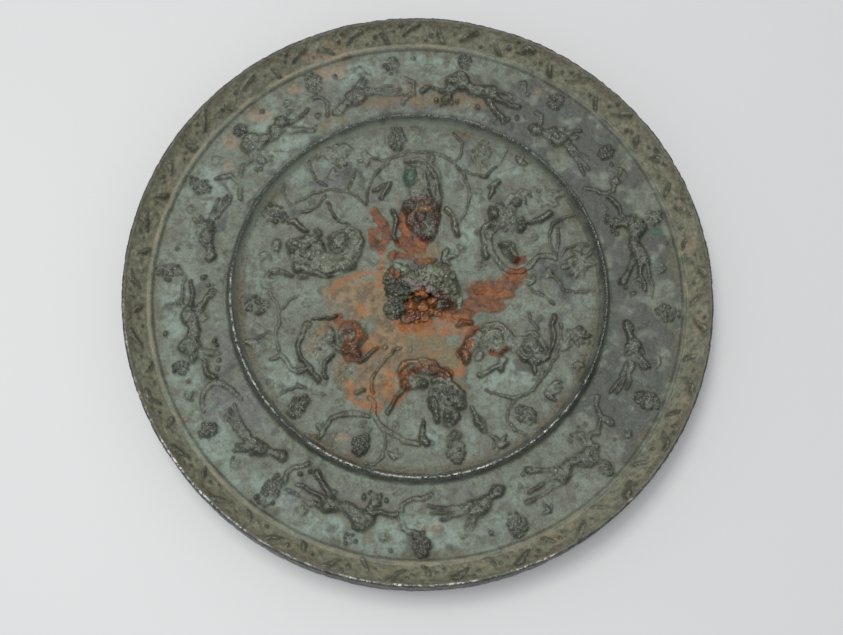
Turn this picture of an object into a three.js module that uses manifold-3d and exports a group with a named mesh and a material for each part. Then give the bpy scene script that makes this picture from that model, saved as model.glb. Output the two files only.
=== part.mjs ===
// Ancient cast bronze mirror of the beast-and-grape kind, lying on its reflecting face.
// Millimetres, +Z up, origin in the middle of the reflecting face.
import * as THREE from 'three';
import Module from 'manifold-3d';
import { mergeVertices } from 'three/addons/utils/BufferGeometryUtils.js';

const wasm = await Module();
wasm.setup();

// Driving dimensions, from the axis outwards.
const FACE_FLAT_RADIUS = 45;
const FACE_RISE = 0.9;
const RIDGE_RADIUS = 53.5;
const RIDGE_WIDTH = 3.4;
const RIDGE_CREST_WIDTH = 0.9;
const OUTER_FIELD_WIDTH = 20.1;
const THIN_RING_WIDTH = 1.6;
const RIM_BAND_WIDTH = 4.9;
const RIM_LIP_WIDTH = 1.3;
const RIM_LIP_DROP = 0.4;
const WALL_DRAFT = 0.4;

// Heights above the reflecting face.
const INNER_FLOOR = 4.4;
const RIDGE_HEIGHT = 9.3;
const OUTER_FLOOR = 5.4;
const OUTER_FLOOR_RISE = 0.8;
const THIN_RING_HEIGHT = 1;
const BAND_FOOT = 7;
const BAND_RISE = 4.4;
const RIM_HEIGHT = 12.4;

// How far each kind of relief stands above the floor that it grows from.
const HEAD_RELIEF = 3.8;
const BODY_RELIEF = 2.9;
const LIMB_RELIEF = 1.7;
const VINE_RELIEF = 0.75;
const GRAPE_RELIEF = 2;
const RUNNER_RELIEF = 2.1;
const BIRD_RELIEF = 1.9;
const FLORET_RELIEF = 0.9;
const ROOT_DEPTH = 0.6;

// The knob, a crouching beast pierced from front to back for the cord.
const KNOB_LENGTH = 20;
const KNOB_DEPTH = 15.5;
const KNOB_HEIGHT = 13.6;
const CORD_HOLE_WIDTH = 8.4;
const CORD_HOLE_HEIGHT = 6.2;
const CORD_HOLE_OFFSET = 0.8;
// The knob is parted from the disc at its foot, where the two solids stand this far apart.
const KNOB_JOINT = 0.3;
const knobFoot = INNER_FLOOR + KNOB_JOINT;

// The repeated work: counts, pitches and places.
const DISC_SEGMENTS = 56;
const FLORET_COUNT = 29;
const GRAPE_PITCH = 2;
const INNER_BUNCH_DROP = 4.2;
const OUTER_BUNCH_DROP = 3.6;
const VINE_HALF_WIDTH = 0.5;
const VINE_STEP = 7.5;

const ridgeInner = RIDGE_RADIUS - RIDGE_WIDTH / 2;
const ridgeOuter = RIDGE_RADIUS + RIDGE_WIDTH / 2;
const outerFieldEdge = ridgeOuter + OUTER_FIELD_WIDTH;
const thinRingEdge = outerFieldEdge + THIN_RING_WIDTH;
const bandEdge = thinRingEdge + RIM_BAND_WIDTH;
const rimCrest = bandEdge + RIM_LIP_WIDTH / 2;
const rimTop = bandEdge + RIM_LIP_WIDTH;
const rimRadius = rimTop + WALL_DRAFT;
const outerFloorEdge = OUTER_FLOOR + OUTER_FLOOR_RISE;

// The back of the mirror in section, from the axis to the rim: radius, height.
const backProfile = [
  [0, INNER_FLOOR],
  [ridgeInner, INNER_FLOOR],
  [RIDGE_RADIUS - RIDGE_CREST_WIDTH / 2, RIDGE_HEIGHT],
  [RIDGE_RADIUS + RIDGE_CREST_WIDTH / 2, RIDGE_HEIGHT],
  [ridgeOuter, OUTER_FLOOR],
  [outerFieldEdge, outerFloorEdge],
  [outerFieldEdge + THIN_RING_WIDTH / 2, outerFloorEdge + THIN_RING_HEIGHT],
  [thinRingEdge, BAND_FOOT],
  [bandEdge, BAND_FOOT + BAND_RISE],
  [rimCrest, RIM_HEIGHT],
  [rimTop, RIM_HEIGHT - RIM_LIP_DROP],
];

// The outer wall and the reflecting face, from the rim back to the axis.
const faceProfile = [
  [rimRadius, FACE_RISE],
  [FACE_FLAT_RADIUS, 0],
  [0, 0],
];

function toSolid(geometry) {
  geometry.deleteAttribute('normal');
  geometry.deleteAttribute('uv');
  const merged = mergeVertices(geometry, 1e-4);
  const mesh = new wasm.Mesh({
    numProp: 3,
    vertProperties: new Float32Array(merged.attributes.position.array),
    triVerts: new Uint32Array(merged.index.array),
  });
  return new wasm.Manifold(mesh);
}

function signedVolume(points, faces) {
  let volume = 0;
  for (const [a, b, c] of faces) {
    volume += points[a].dot(points[b].clone().cross(points[c]));
  }
  return volume / 6;
}

function meshFrom(points, faces) {
  const outward = signedVolume(points, faces) > 0;
  const index = faces.flatMap(([a, b, c]) => (outward ? [a, b, c] : [a, c, b]));
  const geometry = new THREE.BufferGeometry();
  geometry.setAttribute('position', new THREE.Float32BufferAttribute(points.flatMap((p) => p.toArray()), 3));
  geometry.setIndex(index);
  return toSolid(geometry);
}

// A closed skin over rings of equally many points, drawn out to a tip at either end or closed flat.
function loft(rings, startTip, endTip) {
  const count = rings[0].length;
  const points = rings.flat();
  const faces = [];
  for (let ring = 0; ring + 1 < rings.length; ring += 1) {
    for (let i = 0; i < count; i += 1) {
      const a = ring * count + i;
      const b = ring * count + ((i + 1) % count);
      faces.push([a, b, b + count], [a, b + count, a + count]);
    }
  }
  const last = (rings.length - 1) * count;
  const close = (base, tip, turned) => {
    if (tip) {
      points.push(tip);
    }
    const hub = tip ? points.length - 1 : base;
    for (let i = tip ? 0 : 1; i < (tip ? count : count - 1); i += 1) {
      const here = base + i;
      const next = base + ((i + 1) % count);
      faces.push(turned ? [hub, next, here] : [hub, here, next]);
    }
  };
  close(0, startTip, true);
  close(last, endTip, false);
  return meshFrom(points, faces);
}

// Height of the back at a radius, read off its section.
function floorAt(radius) {
  for (let i = 0; i + 1 < backProfile.length; i += 1) {
    const [r0, z0] = backProfile[i];
    const [r1, z1] = backProfile[i + 1];
    if (radius <= r1) {
      return z0 + ((z1 - z0) * (radius - r0)) / (r1 - r0);
    }
  }
  return RIM_HEIGHT;
}

// A point that stands a height above the floor below it.
function above(x, y, height) {
  return new THREE.Vector3(x, y, floorAt(Math.hypot(x, y)) + height);
}

function disc() {
  const profile = [...backProfile, ...faceProfile].map(([r, z]) => new THREE.Vector2(r, z)).reverse();
  return toSolid(new THREE.LatheGeometry(profile, DISC_SEGMENTS).rotateX(Math.PI / 2));
}

// A limb, body or stem along stations of x, y, half-width and share of the height, drawn out to a
// point on the floor at both ends.
const BODY_SECTION = [[-1, 0], [-0.55, 0.85], [0.35, 1], [1, 0]];
const STEM_SECTION = [[-1, 0], [0, 1], [1, 0]];

function limb(stations, height, section = STEM_SECTION) {
  const rings = stations.map(([x, y, halfWidth, share = 1], i) => {
    const before = stations[Math.max(i - 1, 0)];
    const after = stations[Math.min(i + 1, stations.length - 1)];
    const along = new THREE.Vector2(after[0] - before[0], after[1] - before[1]).normalize();
    return section.map(([side, rise]) => {
      const px = x - along.y * side * halfWidth;
      const py = y + along.x * side * halfWidth;
      return above(px, py, rise === 0 ? -ROOT_DEPTH : rise * share * height);
    });
  });
  const tip = (end, next) => {
    const away = new THREE.Vector2(end[0] - next[0], end[1] - next[1]).setLength(end[2]);
    return above(end[0] + away.x, end[1] + away.y, -ROOT_DEPTH);
  };
  const count = stations.length;
  return loft(rings, tip(stations[0], stations[1]), tip(stations[count - 1], stations[count - 2]));
}

// A rounded swelling: an ellipse of half-axes a and b, turned, rising over a shoulder to its top.
function boss(x, y, a, b, turn, height, sides = 7) {
  const ring = (share, rise) => Array.from({ length: sides }, (_, i) => {
    const angle = (2 * Math.PI * i) / sides;
    const along = a * share * Math.cos(angle);
    const across = b * share * Math.sin(angle);
    const px = x + along * Math.cos(turn) - across * Math.sin(turn);
    const py = y + along * Math.sin(turn) + across * Math.cos(turn);
    return above(px, py, rise);
  });
  return loft([ring(1, -ROOT_DEPTH), ring(0.7, height * 0.75)], undefined, above(x, y, height));
}

// A small leaf or bud: a pyramid of few sides.
function bud(x, y, a, b, turn, height, sides) {
  const base = Array.from({ length: sides }, (_, i) => {
    const angle = (2 * Math.PI * i) / sides;
    const along = a * Math.cos(angle);
    const across = b * Math.sin(angle);
    const px = x + along * Math.cos(turn) - across * Math.sin(turn);
    const py = y + along * Math.sin(turn) + across * Math.cos(turn);
    return above(px, py, -ROOT_DEPTH);
  });
  return loft([base], undefined, above(x, y, height));
}

// A hanging bunch of grapes: berries on a honeycomb, each a six-sided peak, with low seams between them.
const FULL_BUNCH = [2, 3, 2];
const SMALL_BUNCH = [2, 1];

function bunch(x, y, downwards, rows) {
  const points = [];
  const faces = [];
  const corners = new Map();
  const rowStep = (GRAPE_PITCH * Math.sqrt(3)) / 2;
  const place = (u, v, height) => {
    const px = x + u * Math.sin(downwards) + v * Math.cos(downwards);
    const py = y - u * Math.cos(downwards) + v * Math.sin(downwards);
    points.push(above(px, py, height));
    return points.length - 1;
  };
  const cells = rows.flatMap((berries, row) => Array.from({ length: berries }, (_, i) => [
    (i - (berries - 1) / 2) * GRAPE_PITCH, (row - (rows.length - 1) / 2) * rowStep]));
  const hexagons = cells.map(([u, v]) => Array.from({ length: 6 }, (_, k) => {
    const angle = Math.PI / 6 + (k * Math.PI) / 3;
    const side = GRAPE_PITCH / Math.sqrt(3);
    const corner = [u + side * Math.cos(angle), v + side * Math.sin(angle)];
    const key = corner.map((value) => Math.round(value * 20)).join(' ');
    corners.set(key, { corner, shared: (corners.get(key)?.shared ?? 0) + 1 });
    return key;
  }));
  for (const entry of corners.values()) {
    entry.low = place(...entry.corner, -ROOT_DEPTH);
    entry.top = entry.shared === 3 ? place(...entry.corner, GRAPE_RELIEF * 0.55) : entry.low;
  }
  hexagons.forEach((keys, cell) => {
    const peak = place(...cells[cell], GRAPE_RELIEF);
    const base = place(...cells[cell], -ROOT_DEPTH);
    keys.forEach((key, k) => {
      const here = corners.get(key);
      const next = corners.get(keys[(k + 1) % 6]);
      faces.push([peak, here.top, next.top], [base, next.low, here.low]);
    });
  });
  return meshFrom(points, faces);
}

// The six beasts that crouch around the knob. Each is drawn from a few joints, x, y and half-width,
// on a field whose ridge ring has the drawing radius; the drawing is scaled to the real ring.
const DRAWING_RADIUS = 53.5;
const drawingScale = RIDGE_RADIUS / DRAWING_RADIUS;
const crouchingBeasts = [
  {
    head: [-31.5, 14, 3.6, 3.6], muzzle: [-36.3, 14.4, 2, 1.9], haunch: [-22.3, 15.6, 4.9, 4.6],
    body: [[-29.5, 10.5, 2.8], [-26, 10.8, 3], [-22.5, 12.5, 2.8]],
    limbs: [
      [[-32, 17.5, 1.2], [-34, 20.2, 1.1], [-37.2, 22.4, 1.4]],
      [[-34, 9.5, 1.1], [-38, 6.8, 0.9], [-42.8, 6.3, 1.1]],
      [[-41.3, 12.8, 1.3], [-41.2, 15.8, 1.4]],
      [[-34.8, 8, 1.1], [-29, 6.9, 1.3], [-22.5, 8.4, 1.4], [-18.2, 12, 1.3], [-17, 16.5, 1]],
    ],
  },
  {
    head: [1.2, 24.4, 4, 4.2], muzzle: [3.2, 19, 2, 2.2], haunch: [-2.5, 36, 2.7, 3.5],
    body: [[4.5, 28.5, 2.2], [6, 32.5, 2.5], [4.6, 37.5, 2.4], [0.6, 40.4, 1.7]],
    limbs: [
      [[8, 27.3, 1], [10.3, 23.5, 1.1], [11.5, 19, 1.3]],
      [[-5, 33.2, 1], [-8.4, 33.3, 0.9], [-11, 29.4, 1]],
      [[-3, 22.4, 1], [-6, 21.2, 0.9], [-6.8, 17.6, 1.1]],
      [[-3, 41.4, 0.8], [-8, 40.6, 0.9], [-12.6, 36.8, 0.9]],
    ],
  },
  {
    head: [26.6, 25.2, 4.6, 4.4], muzzle: [27.2, 20.6, 2.2, 1.5], haunch: [26.2, 14, 2.7, 3.7],
    body: [[21.2, 22, 2], [18.9, 17.5, 1.7], [19.3, 12, 1.7]],
    limbs: [
      [[23, 29.4, 1], [22, 32, 1.1], [23.3, 35.2, 1.1]],
      [[31, 22, 1], [34.5, 23.1, 1.1], [38.2, 25.2, 1.2]],
      [[22.8, 19, 0.8], [21, 14.8, 0.8], [23.3, 9.8, 0.8], [27, 7.4, 0.8], [31.2, 8.3, 0.7]],
      [[29.8, 30.2, 1], [31.4, 28.2, 1]],
    ],
  },
  {
    head: [21.5, -12.6, 4.4, 4], muzzle: [21.8, -17.2, 2.4, 1.5], haunch: [32.3, -15.2, 4.4, 4.4],
    body: [[25.5, -13, 2.2], [28.5, -15.8, 2], [31, -17.6, 2.2]],
    limbs: [
      [[17.4, -11, 1.2], [14.2, -14.3, 1.2], [12.6, -18.6, 1.5]],
      [[22.8, -19.6, 1], [20.3, -22.2, 1], [17.6, -24.2, 1.1]],
      [[30.6, -20.2, 1], [32.5, -22.4, 1.2], [35, -24.4, 1.2]],
      [[35.8, -18.8, 0.8], [38.6, -14.4, 0.8], [38.2, -9, 0.8], [36.6, -6.4, 0.8]],
    ],
  },
  {
    head: [7.4, -29.6, 5, 4.7], muzzle: [8, -36, 1.9, 2.1], haunch: [-1.4, -25.4, 3.3, 1.9],
    body: [[-5.6, -21.8, 1.1], [-3.2, -20, 1.2], [1, -19.4, 1.3], [5, -21, 1.3], [8.4, -23.6, 1.3]],
    limbs: [
      [[2.6, -30.4, 1.2], [3.6, -33, 1.2], [5.4, -36.4, 1.1]],
      [[8.2, -41, 1.2], [11.2, -40, 1.3]],
      [[14.4, -32.4, 0.9], [15.9, -35.6, 1], [17.3, -38, 1.5]],
      [[1, -37.2, 0.8], [1.1, -39.6, 0.9], [1.6, -42.6, 1.1]],
    ],
  },
  {
    head: [-19.3, -11.8, 3.7, 3.4], muzzle: [-16, -10, 2, 2], haunch: [-30.2, -17, 3, 3.6],
    body: [[-23, -13.6, 3], [-26.6, -14.6, 3]],
    limbs: [
      [[-24.4, -6.8, 0.9], [-29, -7.7, 1.1], [-32.8, -11, 1.2], [-34.2, -16, 1.2], [-31.6, -21, 1.1],
        [-28.4, -24.4, 1]],
      [[-24.6, -18.4, 1.1], [-27, -21.6, 1.1], [-27, -25.6, 1.5]],
      [[-23.7, -24.8, 1.1], [-21, -25, 1.5]],
      [[-20, -17.4, 0.9], [-16.2, -19, 0.9], [-11.8, -14.8, 1], [-9.4, -14.2, 1.5]],
    ],
  },
];

function crouchingBeast({ head, muzzle, haunch, body, limbs }) {
  const drawn = (stations) => stations.map((station) => station.map((value) => value * drawingScale));
  const swelling = (at, height, sides) => boss(...drawn([at])[0], 0, height, sides);
  return [
    swelling(head, HEAD_RELIEF, 7),
    swelling(muzzle, HEAD_RELIEF * 0.7, 5),
    swelling(haunch, BODY_RELIEF, 6),
    limb(drawn(body), BODY_RELIEF, BODY_SECTION),
    ...limbs.map((stations) => limb(drawn(stations), LIMB_RELIEF)),
  ];
}

// Looping vines of the inner field: arcs of centre x, centre y, radius, start and end in degrees.
const innerVines = [
  [-4, 30.5, 11, 80, 190],
  [2.5, 32, 12.5, -30, 122],
  [19.5, 43.5, 7.2, 200, 350],
  [-26, 20, 11.5, 50, 145],
  [-46, -8, 6.5, -35, 50],
  [-19, -46, 10.5, 100, 160],
  [-1, -30, 13, 200, 268],
  [3, -28, 16, 122, 170],
  [26, -15.5, 15, 250, 370],
  [31.5, -35.5, 6.3, 105, 250],
  [43, 1, 8, 110, 195],
  [-36, -21.5, 5.5, 30, 135],
];

function arcStations([cx, cy, radius, from, to]) {
  const sweep = THREE.MathUtils.degToRad(to - from);
  const steps = Math.max(3, Math.round((sweep * radius) / VINE_STEP));
  return Array.from({ length: steps + 1 }, (_, i) => {
    const angle = THREE.MathUtils.degToRad(from) + (sweep * i) / steps;
    const x = cx + radius * Math.cos(angle);
    const y = cy + radius * Math.sin(angle);
    return [x * drawingScale, y * drawingScale, VINE_HALF_WIDTH];
  });
}

// Bearings, in degrees, of the grape bunches that hang inward from the ridge ring.
const innerBunchBearings = [12, 38.5, 65.7, 97.7, 119.7, 150.5, 184.9, 224, 250, 282, 311.6, 344.8];

// The outer field is laid out by bearing in degrees and by a share of the field's width.
const runnerBearings = [18, 79.5, 137, 194.5, 256, 315];
const birdBearings = [49.5, 107, 164.5, 225, 285, 344.5];
const outerBunchBearings = [38, 55.5, 96.5, 116, 153.5, 175.5, 214.5, 234.5, 270.5, 292, 334, 355.5];

function outward(bearing, share) {
  const angle = THREE.MathUtils.degToRad(bearing);
  const radius = ridgeOuter + share * OUTER_FIELD_WIDTH;
  return [radius * Math.cos(angle), radius * Math.sin(angle)];
}

// Stations given as bearing from the figure's own, share of the field's width, half-width and height.
function around(bearing, stations) {
  return stations.map(([turn, share, ...section]) => [...outward(bearing + turn, share), ...section]);
}

function runningBeast(bearing) {
  const spine = [[1.9, 0.54, 2], [0, 0.58, 3], [-2.6, 0.5, 2, 0.8], [-5.2, 0.45, 1.5, 0.75],
    [-8.4, 0.5, 2, 0.9], [-12.5, 0.58, 0.8, 0.45], [-17.6, 0.585, 0.5, 0.35]];
  const limbs = [
    [[1.4, 0.42, 1.2], [2.4, 0.26, 1.7]],
    [[4, 0.4, 0.8], [9.2, 0.38, 0.9]],
    [[-8.8, 0.38, 1], [-14.4, 0.19, 1.3]],
  ];
  return [
    limb(around(bearing, spine), RUNNER_RELIEF, BODY_SECTION),
    ...limbs.map((stations) => limb(around(bearing, stations), LIMB_RELIEF * 0.75)),
  ];
}

function bird(bearing) {
  const body = [[6.4, 0.23, 1.2, 0.7], [3.6, 0.31, 1.1, 0.6], [1.6, 0.37, 2], [-1.6, 0.42, 2.1],
    [-4.4, 0.43, 0.9, 0.5]];
  const plumes = [[-3.2, 0.4, -11.5, 0.29], [-3.2, 0.44, -11, 0.39]];
  return [
    limb(around(bearing, body), BIRD_RELIEF, BODY_SECTION),
    limb(around(bearing, [[0.2, 0.48, 1], [-2.2, 0.66, 0.6]]), BIRD_RELIEF * 0.6),
    ...plumes.map(([root, from, tip, to]) => limb(
      around(bearing, [[root, from, 0.6], [tip, to, 0.6]]), BIRD_RELIEF * 0.45)),
  ];
}

function outerTendril(bearing) {
  const stations = [[14, 0.72, 0.5], [9.6, 0.55, 0.5], [9.8, 0.28, 0.5], [16, 0.14, 0.4]];
  return limb(around(bearing, stations), VINE_RELIEF);
}

// The rim band: a scroll of leaves that lean outward and inward by turns, with a bud in each hollow.
function florets() {
  const halfPitch = 180 / FLORET_COUNT;
  const halfCount = FLORET_COUNT * 2;
  const solids = [];
  for (let i = 0; i < halfCount; i += 1) {
    const bearing = i * halfPitch;
    const lean = i % 2 === 0 ? 1 : -1;
    const spot = (turn, share) => {
      const angle = THREE.MathUtils.degToRad(bearing + turn * halfPitch);
      const radius = thinRingEdge + RIM_BAND_WIDTH * (0.5 + lean * share);
      return [radius * Math.cos(angle), radius * Math.sin(angle)];
    };
    const tangent = THREE.MathUtils.degToRad(bearing + 90 - lean * 55);
    solids.push(bud(...spot(0, 0.16), 2, 1, tangent, FLORET_RELIEF, 4));
    if (lean > 0) {
      solids.push(bud(...spot(0.5, -0.24), 0.9, 0.9, tangent, FLORET_RELIEF * 0.8, 3));
    }
  }
  return solids;
}

// A rounded lump of the knob.
function lump(x, y, height, a, b, c, across = 8, down = 6) {
  const geometry = new THREE.SphereGeometry(1, across, down).rotateX(Math.PI / 2);
  geometry.scale(a, b, c);
  geometry.translate(x, y, INNER_FLOOR + height);
  return toSolid(geometry);
}

// The knob: a beast lying along X, its head to the left, its haunch and tail to the right.
function knob() {
  const long = KNOB_LENGTH / 2;
  const deep = KNOB_DEPTH / 2;
  const high = KNOB_HEIGHT - INNER_FLOOR;
  const lumps = [
    lump(0.14 * long, 0.1 * deep, 0, 0.84 * long, 0.92 * deep, high, 12, 8),
    lump(-0.72 * long, -0.28 * deep, 0.3 * high, 0.36 * long, 0.46 * deep, 0.42 * high),
    lump(-0.9 * long, -0.62 * deep, 0.12 * high, 0.22 * long, 0.22 * deep, 0.28 * high, 6, 4),
    lump(-0.5 * long, 0.3 * deep, 0.45 * high, 0.34 * long, 0.36 * deep, 0.38 * high),
    lump(0.78 * long, -0.16 * deep, 0.1 * high, 0.36 * long, 0.5 * deep, 0.5 * high),
    lump(0.94 * long, -0.58 * deep, 0, 0.2 * long, 0.26 * deep, 0.3 * high, 6, 4),
    lump(0.92 * long, 0.42 * deep, 0, 0.22 * long, 0.32 * deep, 0.4 * high, 6, 4),
  ];
  const half = CORD_HOLE_WIDTH / 2;
  const springing = CORD_HOLE_HEIGHT * 0.62;
  const arch = new THREE.Shape();
  arch.moveTo(-half, -ROOT_DEPTH);
  arch.lineTo(half, -ROOT_DEPTH);
  arch.lineTo(half, springing);
  arch.absellipse(0, springing, half, CORD_HOLE_HEIGHT - springing, 0, Math.PI);
  arch.closePath();
  const run = KNOB_DEPTH * 2;
  const tunnel = new THREE.ExtrudeGeometry(arch, { depth: run, bevelEnabled: false, curveSegments: 4 });
  tunnel.translate(0, 0, -run / 2).rotateX(Math.PI / 2);
  tunnel.translate(CORD_HOLE_OFFSET, 0, INNER_FLOOR);
  const bored = lumps.reduce((whole, solid) => whole.add(solid)).subtract(toSolid(tunnel));
  return bored.trimByPlane([0, 0, 1], knobFoot);
}

// Everything but the knob is joined to the disc. The real mirror is one casting, knob and all; the
// knob is a solid of its own so that its cord hole stays open to whatever goes through it.
function carvedDisc() {
  const bunchAt = (bearing, radius, rows) => {
    const angle = THREE.MathUtils.degToRad(bearing);
    return bunch(radius * Math.cos(angle), radius * Math.sin(angle), angle + Math.PI, rows);
  };
  const relief = [
    ...crouchingBeasts.flatMap(crouchingBeast),
    ...innerVines.map((vine) => limb(arcStations(vine), VINE_RELIEF)),
    ...innerBunchBearings.map((bearing) => bunchAt(bearing, ridgeInner - INNER_BUNCH_DROP, FULL_BUNCH)),
    ...runnerBearings.flatMap(runningBeast),
    ...birdBearings.flatMap(bird),
    ...runnerBearings.map(outerTendril),
    ...outerBunchBearings.map((bearing) => bunchAt(bearing, outerFieldEdge - OUTER_BUNCH_DROP, FULL_BUNCH)),
    ...runnerBearings.map((bearing) => bunchAt(bearing, outerFieldEdge - GRAPE_PITCH, SMALL_BUNCH)),
    ...florets(),
  ];
  return relief.reduce((whole, solid) => whole.add(solid), disc());
}

function toGeometry(solid) {
  const { vertProperties, triVerts } = solid.getMesh();
  const geometry = new THREE.BufferGeometry();
  geometry.setAttribute('position', new THREE.BufferAttribute(new Float32Array(vertProperties), 3));
  geometry.setIndex(new THREE.BufferAttribute(new Uint32Array(triVerts), 1));
  geometry.computeVertexNormals();
  return geometry;
}

const patinatedBronze = new THREE.MeshStandardMaterial({ color: 0x6f7566, roughness: 0.62, metalness: 0.45 });

const solids = { bronze_mirror: carvedDisc(), knob: knob() };

const group = new THREE.Group();
for (const [name, solid] of Object.entries(solids)) {
  const mesh = new THREE.Mesh(toGeometry(solid), patinatedBronze);
  mesh.name = name;
  group.add(mesh);
}
export default group;
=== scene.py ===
import math

import bmesh
import bpy
import numpy as np
from mathutils import Matrix, Vector


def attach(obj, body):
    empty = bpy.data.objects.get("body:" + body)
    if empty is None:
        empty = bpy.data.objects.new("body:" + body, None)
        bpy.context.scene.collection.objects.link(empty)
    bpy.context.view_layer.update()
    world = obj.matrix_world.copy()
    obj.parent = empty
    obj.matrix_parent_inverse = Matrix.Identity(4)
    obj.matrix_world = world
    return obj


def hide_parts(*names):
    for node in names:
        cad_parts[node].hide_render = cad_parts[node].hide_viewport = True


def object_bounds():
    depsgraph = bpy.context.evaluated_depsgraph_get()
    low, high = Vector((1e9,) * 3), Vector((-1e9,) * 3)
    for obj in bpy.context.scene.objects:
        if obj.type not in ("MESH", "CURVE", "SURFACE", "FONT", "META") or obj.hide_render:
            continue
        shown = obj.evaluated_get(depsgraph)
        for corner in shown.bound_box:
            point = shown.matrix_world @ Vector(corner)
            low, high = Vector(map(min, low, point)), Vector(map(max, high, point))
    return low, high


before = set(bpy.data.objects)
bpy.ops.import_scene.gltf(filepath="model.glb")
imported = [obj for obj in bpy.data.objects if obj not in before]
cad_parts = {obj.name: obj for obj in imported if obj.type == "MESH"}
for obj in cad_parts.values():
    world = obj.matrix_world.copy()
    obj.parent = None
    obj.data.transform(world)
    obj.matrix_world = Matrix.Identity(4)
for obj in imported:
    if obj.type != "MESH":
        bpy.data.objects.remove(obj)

# The camera looks down on the mirror from a forearm's length, a little left of straight on.
# The frame is 843 pixels wide; the focal length was matched to the disc and the two raised rings.
LENS_PIXELS = 1325.4
FRAME_PIXELS = 843
SENSOR_WIDTH = 36.0
EYE_DISTANCE = 0.3844
EYE_ELEVATION = 74.17
EYE_AZIMUTH = -6.22
EYE_ROLL = -0.13
AIM = Vector((0.0009, -0.0058, 0.0))

elevation = math.radians(EYE_ELEVATION)
azimuth = math.radians(EYE_AZIMUTH)
eye = EYE_DISTANCE * Vector((
    math.sin(azimuth) * math.cos(elevation),
    -math.cos(azimuth) * math.cos(elevation),
    math.sin(elevation),
))
camera_data = bpy.data.cameras.new("camera")
camera_data.sensor_width = SENSOR_WIDTH
camera_data.lens = LENS_PIXELS / FRAME_PIXELS * SENSOR_WIDTH
camera_data.clip_start = 0.01
camera_data.clip_end = 20


def put(name, data):
    """A new object in the scene, at the origin."""
    thing = bpy.data.objects.new(name, data)
    bpy.context.scene.collection.objects.link(thing)
    return thing


camera = put("camera", camera_data)
backward = (eye - AIM).normalized()
rightward = Vector((0, 1, 0)).cross(backward).normalized()
turn = Matrix((rightward, backward.cross(rightward), backward)).transposed()
roll = Matrix.Rotation(math.radians(EYE_ROLL), 3, "Z")
camera.matrix_world = Matrix.Translation(eye) @ (turn @ roll).to_4x4()
bpy.context.scene.camera = camera

# The section of the casting, in millimetres from the axis and above the reflecting face: a thin
# inner field, a sharp ridge ring, a shallow outer field, a thin ring, and a band that climbs to the lip.
MM = 0.001
cad_low, cad_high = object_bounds()
RIM_RADIUS = (cad_high.x - cad_low.x) / 2 / MM
KNOB_HEIGHT = cad_high.z / MM
RIDGE_RADIUS = 53.5
RIDGE_FOOT = 1.7
OUTER_FIELD_WIDTH = 20.1
THIN_RING_WIDTH = 1.6
RIM_BAND_WIDTH = 4.9
RIM_LIP_WIDTH = 1.3
INNER_FLOOR = 4.4
RIDGE_HEIGHT = 9.3
OUTER_FLOOR = 5.4
OUTER_FLOOR_EDGE = 6.2
BAND_FOOT = 7.0
BAND_HEAD = 11.4
RIM_HEIGHT = 12.4
FACE_RISE = 0.9
FACE_FLAT_RADIUS = 45.0

RIDGE_OUTER = RIDGE_RADIUS + RIDGE_FOOT
FIELD_EDGE = RIDGE_OUTER + OUTER_FIELD_WIDTH
THIN_RING = FIELD_EDGE + THIN_RING_WIDTH / 2
BAND_START = FIELD_EDGE + THIN_RING_WIDTH
BAND_END = BAND_START + RIM_BAND_WIDTH
RIM_TOP = BAND_END + RIM_LIP_WIDTH

section_of_back = [
    (0.0, INNER_FLOOR),
    (RIDGE_RADIUS - RIDGE_FOOT, INNER_FLOOR),
    (RIDGE_RADIUS - 1.0, INNER_FLOOR + 0.7),
    (RIDGE_RADIUS - 0.6, RIDGE_HEIGHT - 0.7),
    (RIDGE_RADIUS - 0.2, RIDGE_HEIGHT),
    (RIDGE_RADIUS + 0.2, RIDGE_HEIGHT - 0.1),
    (RIDGE_RADIUS + 0.6, RIDGE_HEIGHT - 1.4),
    (RIDGE_RADIUS + 1.1, OUTER_FLOOR + 0.8),
    (RIDGE_OUTER, OUTER_FLOOR),
    (FIELD_EDGE, OUTER_FLOOR_EDGE),
    (THIN_RING - 0.3, OUTER_FLOOR_EDGE + 0.9),
    (THIN_RING + 0.3, OUTER_FLOOR_EDGE + 1.0),
    (BAND_START, BAND_FOOT - 0.1),
    (BAND_END, BAND_HEAD),
    (BAND_END + 0.4, RIM_HEIGHT - 0.15),
    (BAND_END + 0.8, RIM_HEIGHT),
    (RIM_TOP, RIM_HEIGHT - 0.3),
]

# The relief is worked as a founder works a clay mould: a square plate of heights, 0.2 mm apart,
# on which every figure is raised above the plain section, and every line cut back into it.
PITCH = 0.2
HALF = 86.0
steps = np.arange(-HALF, HALF + PITCH / 2, PITCH)
plate_x, plate_y = np.meshgrid(steps, steps, indexing="ij")
plate_radius = np.hypot(plate_x, plate_y)
plain = np.interp(plate_radius, *zip(*section_of_back))
relief = np.zeros_like(plain)


def around_points(points, reach):
    """The part of the plate within reach of a few points."""
    low = [int((min(p[k] for p in points) - reach + HALF) / PITCH) for k in (0, 1)]
    high = [int((max(p[k] for p in points) + reach + HALF) / PITCH) + 2 for k in (0, 1)]
    return tuple(slice(max(a, 0), max(b, 0)) for a, b in zip(low, high))


def smooth_max(a, b, soft):
    """The higher of two surfaces, with a soft join where they cross."""
    share = np.clip(0.5 + 0.5 * (b - a) / soft, 0, 1)
    return a * (1 - share) + b * share + soft * share * (1 - share)


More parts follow.
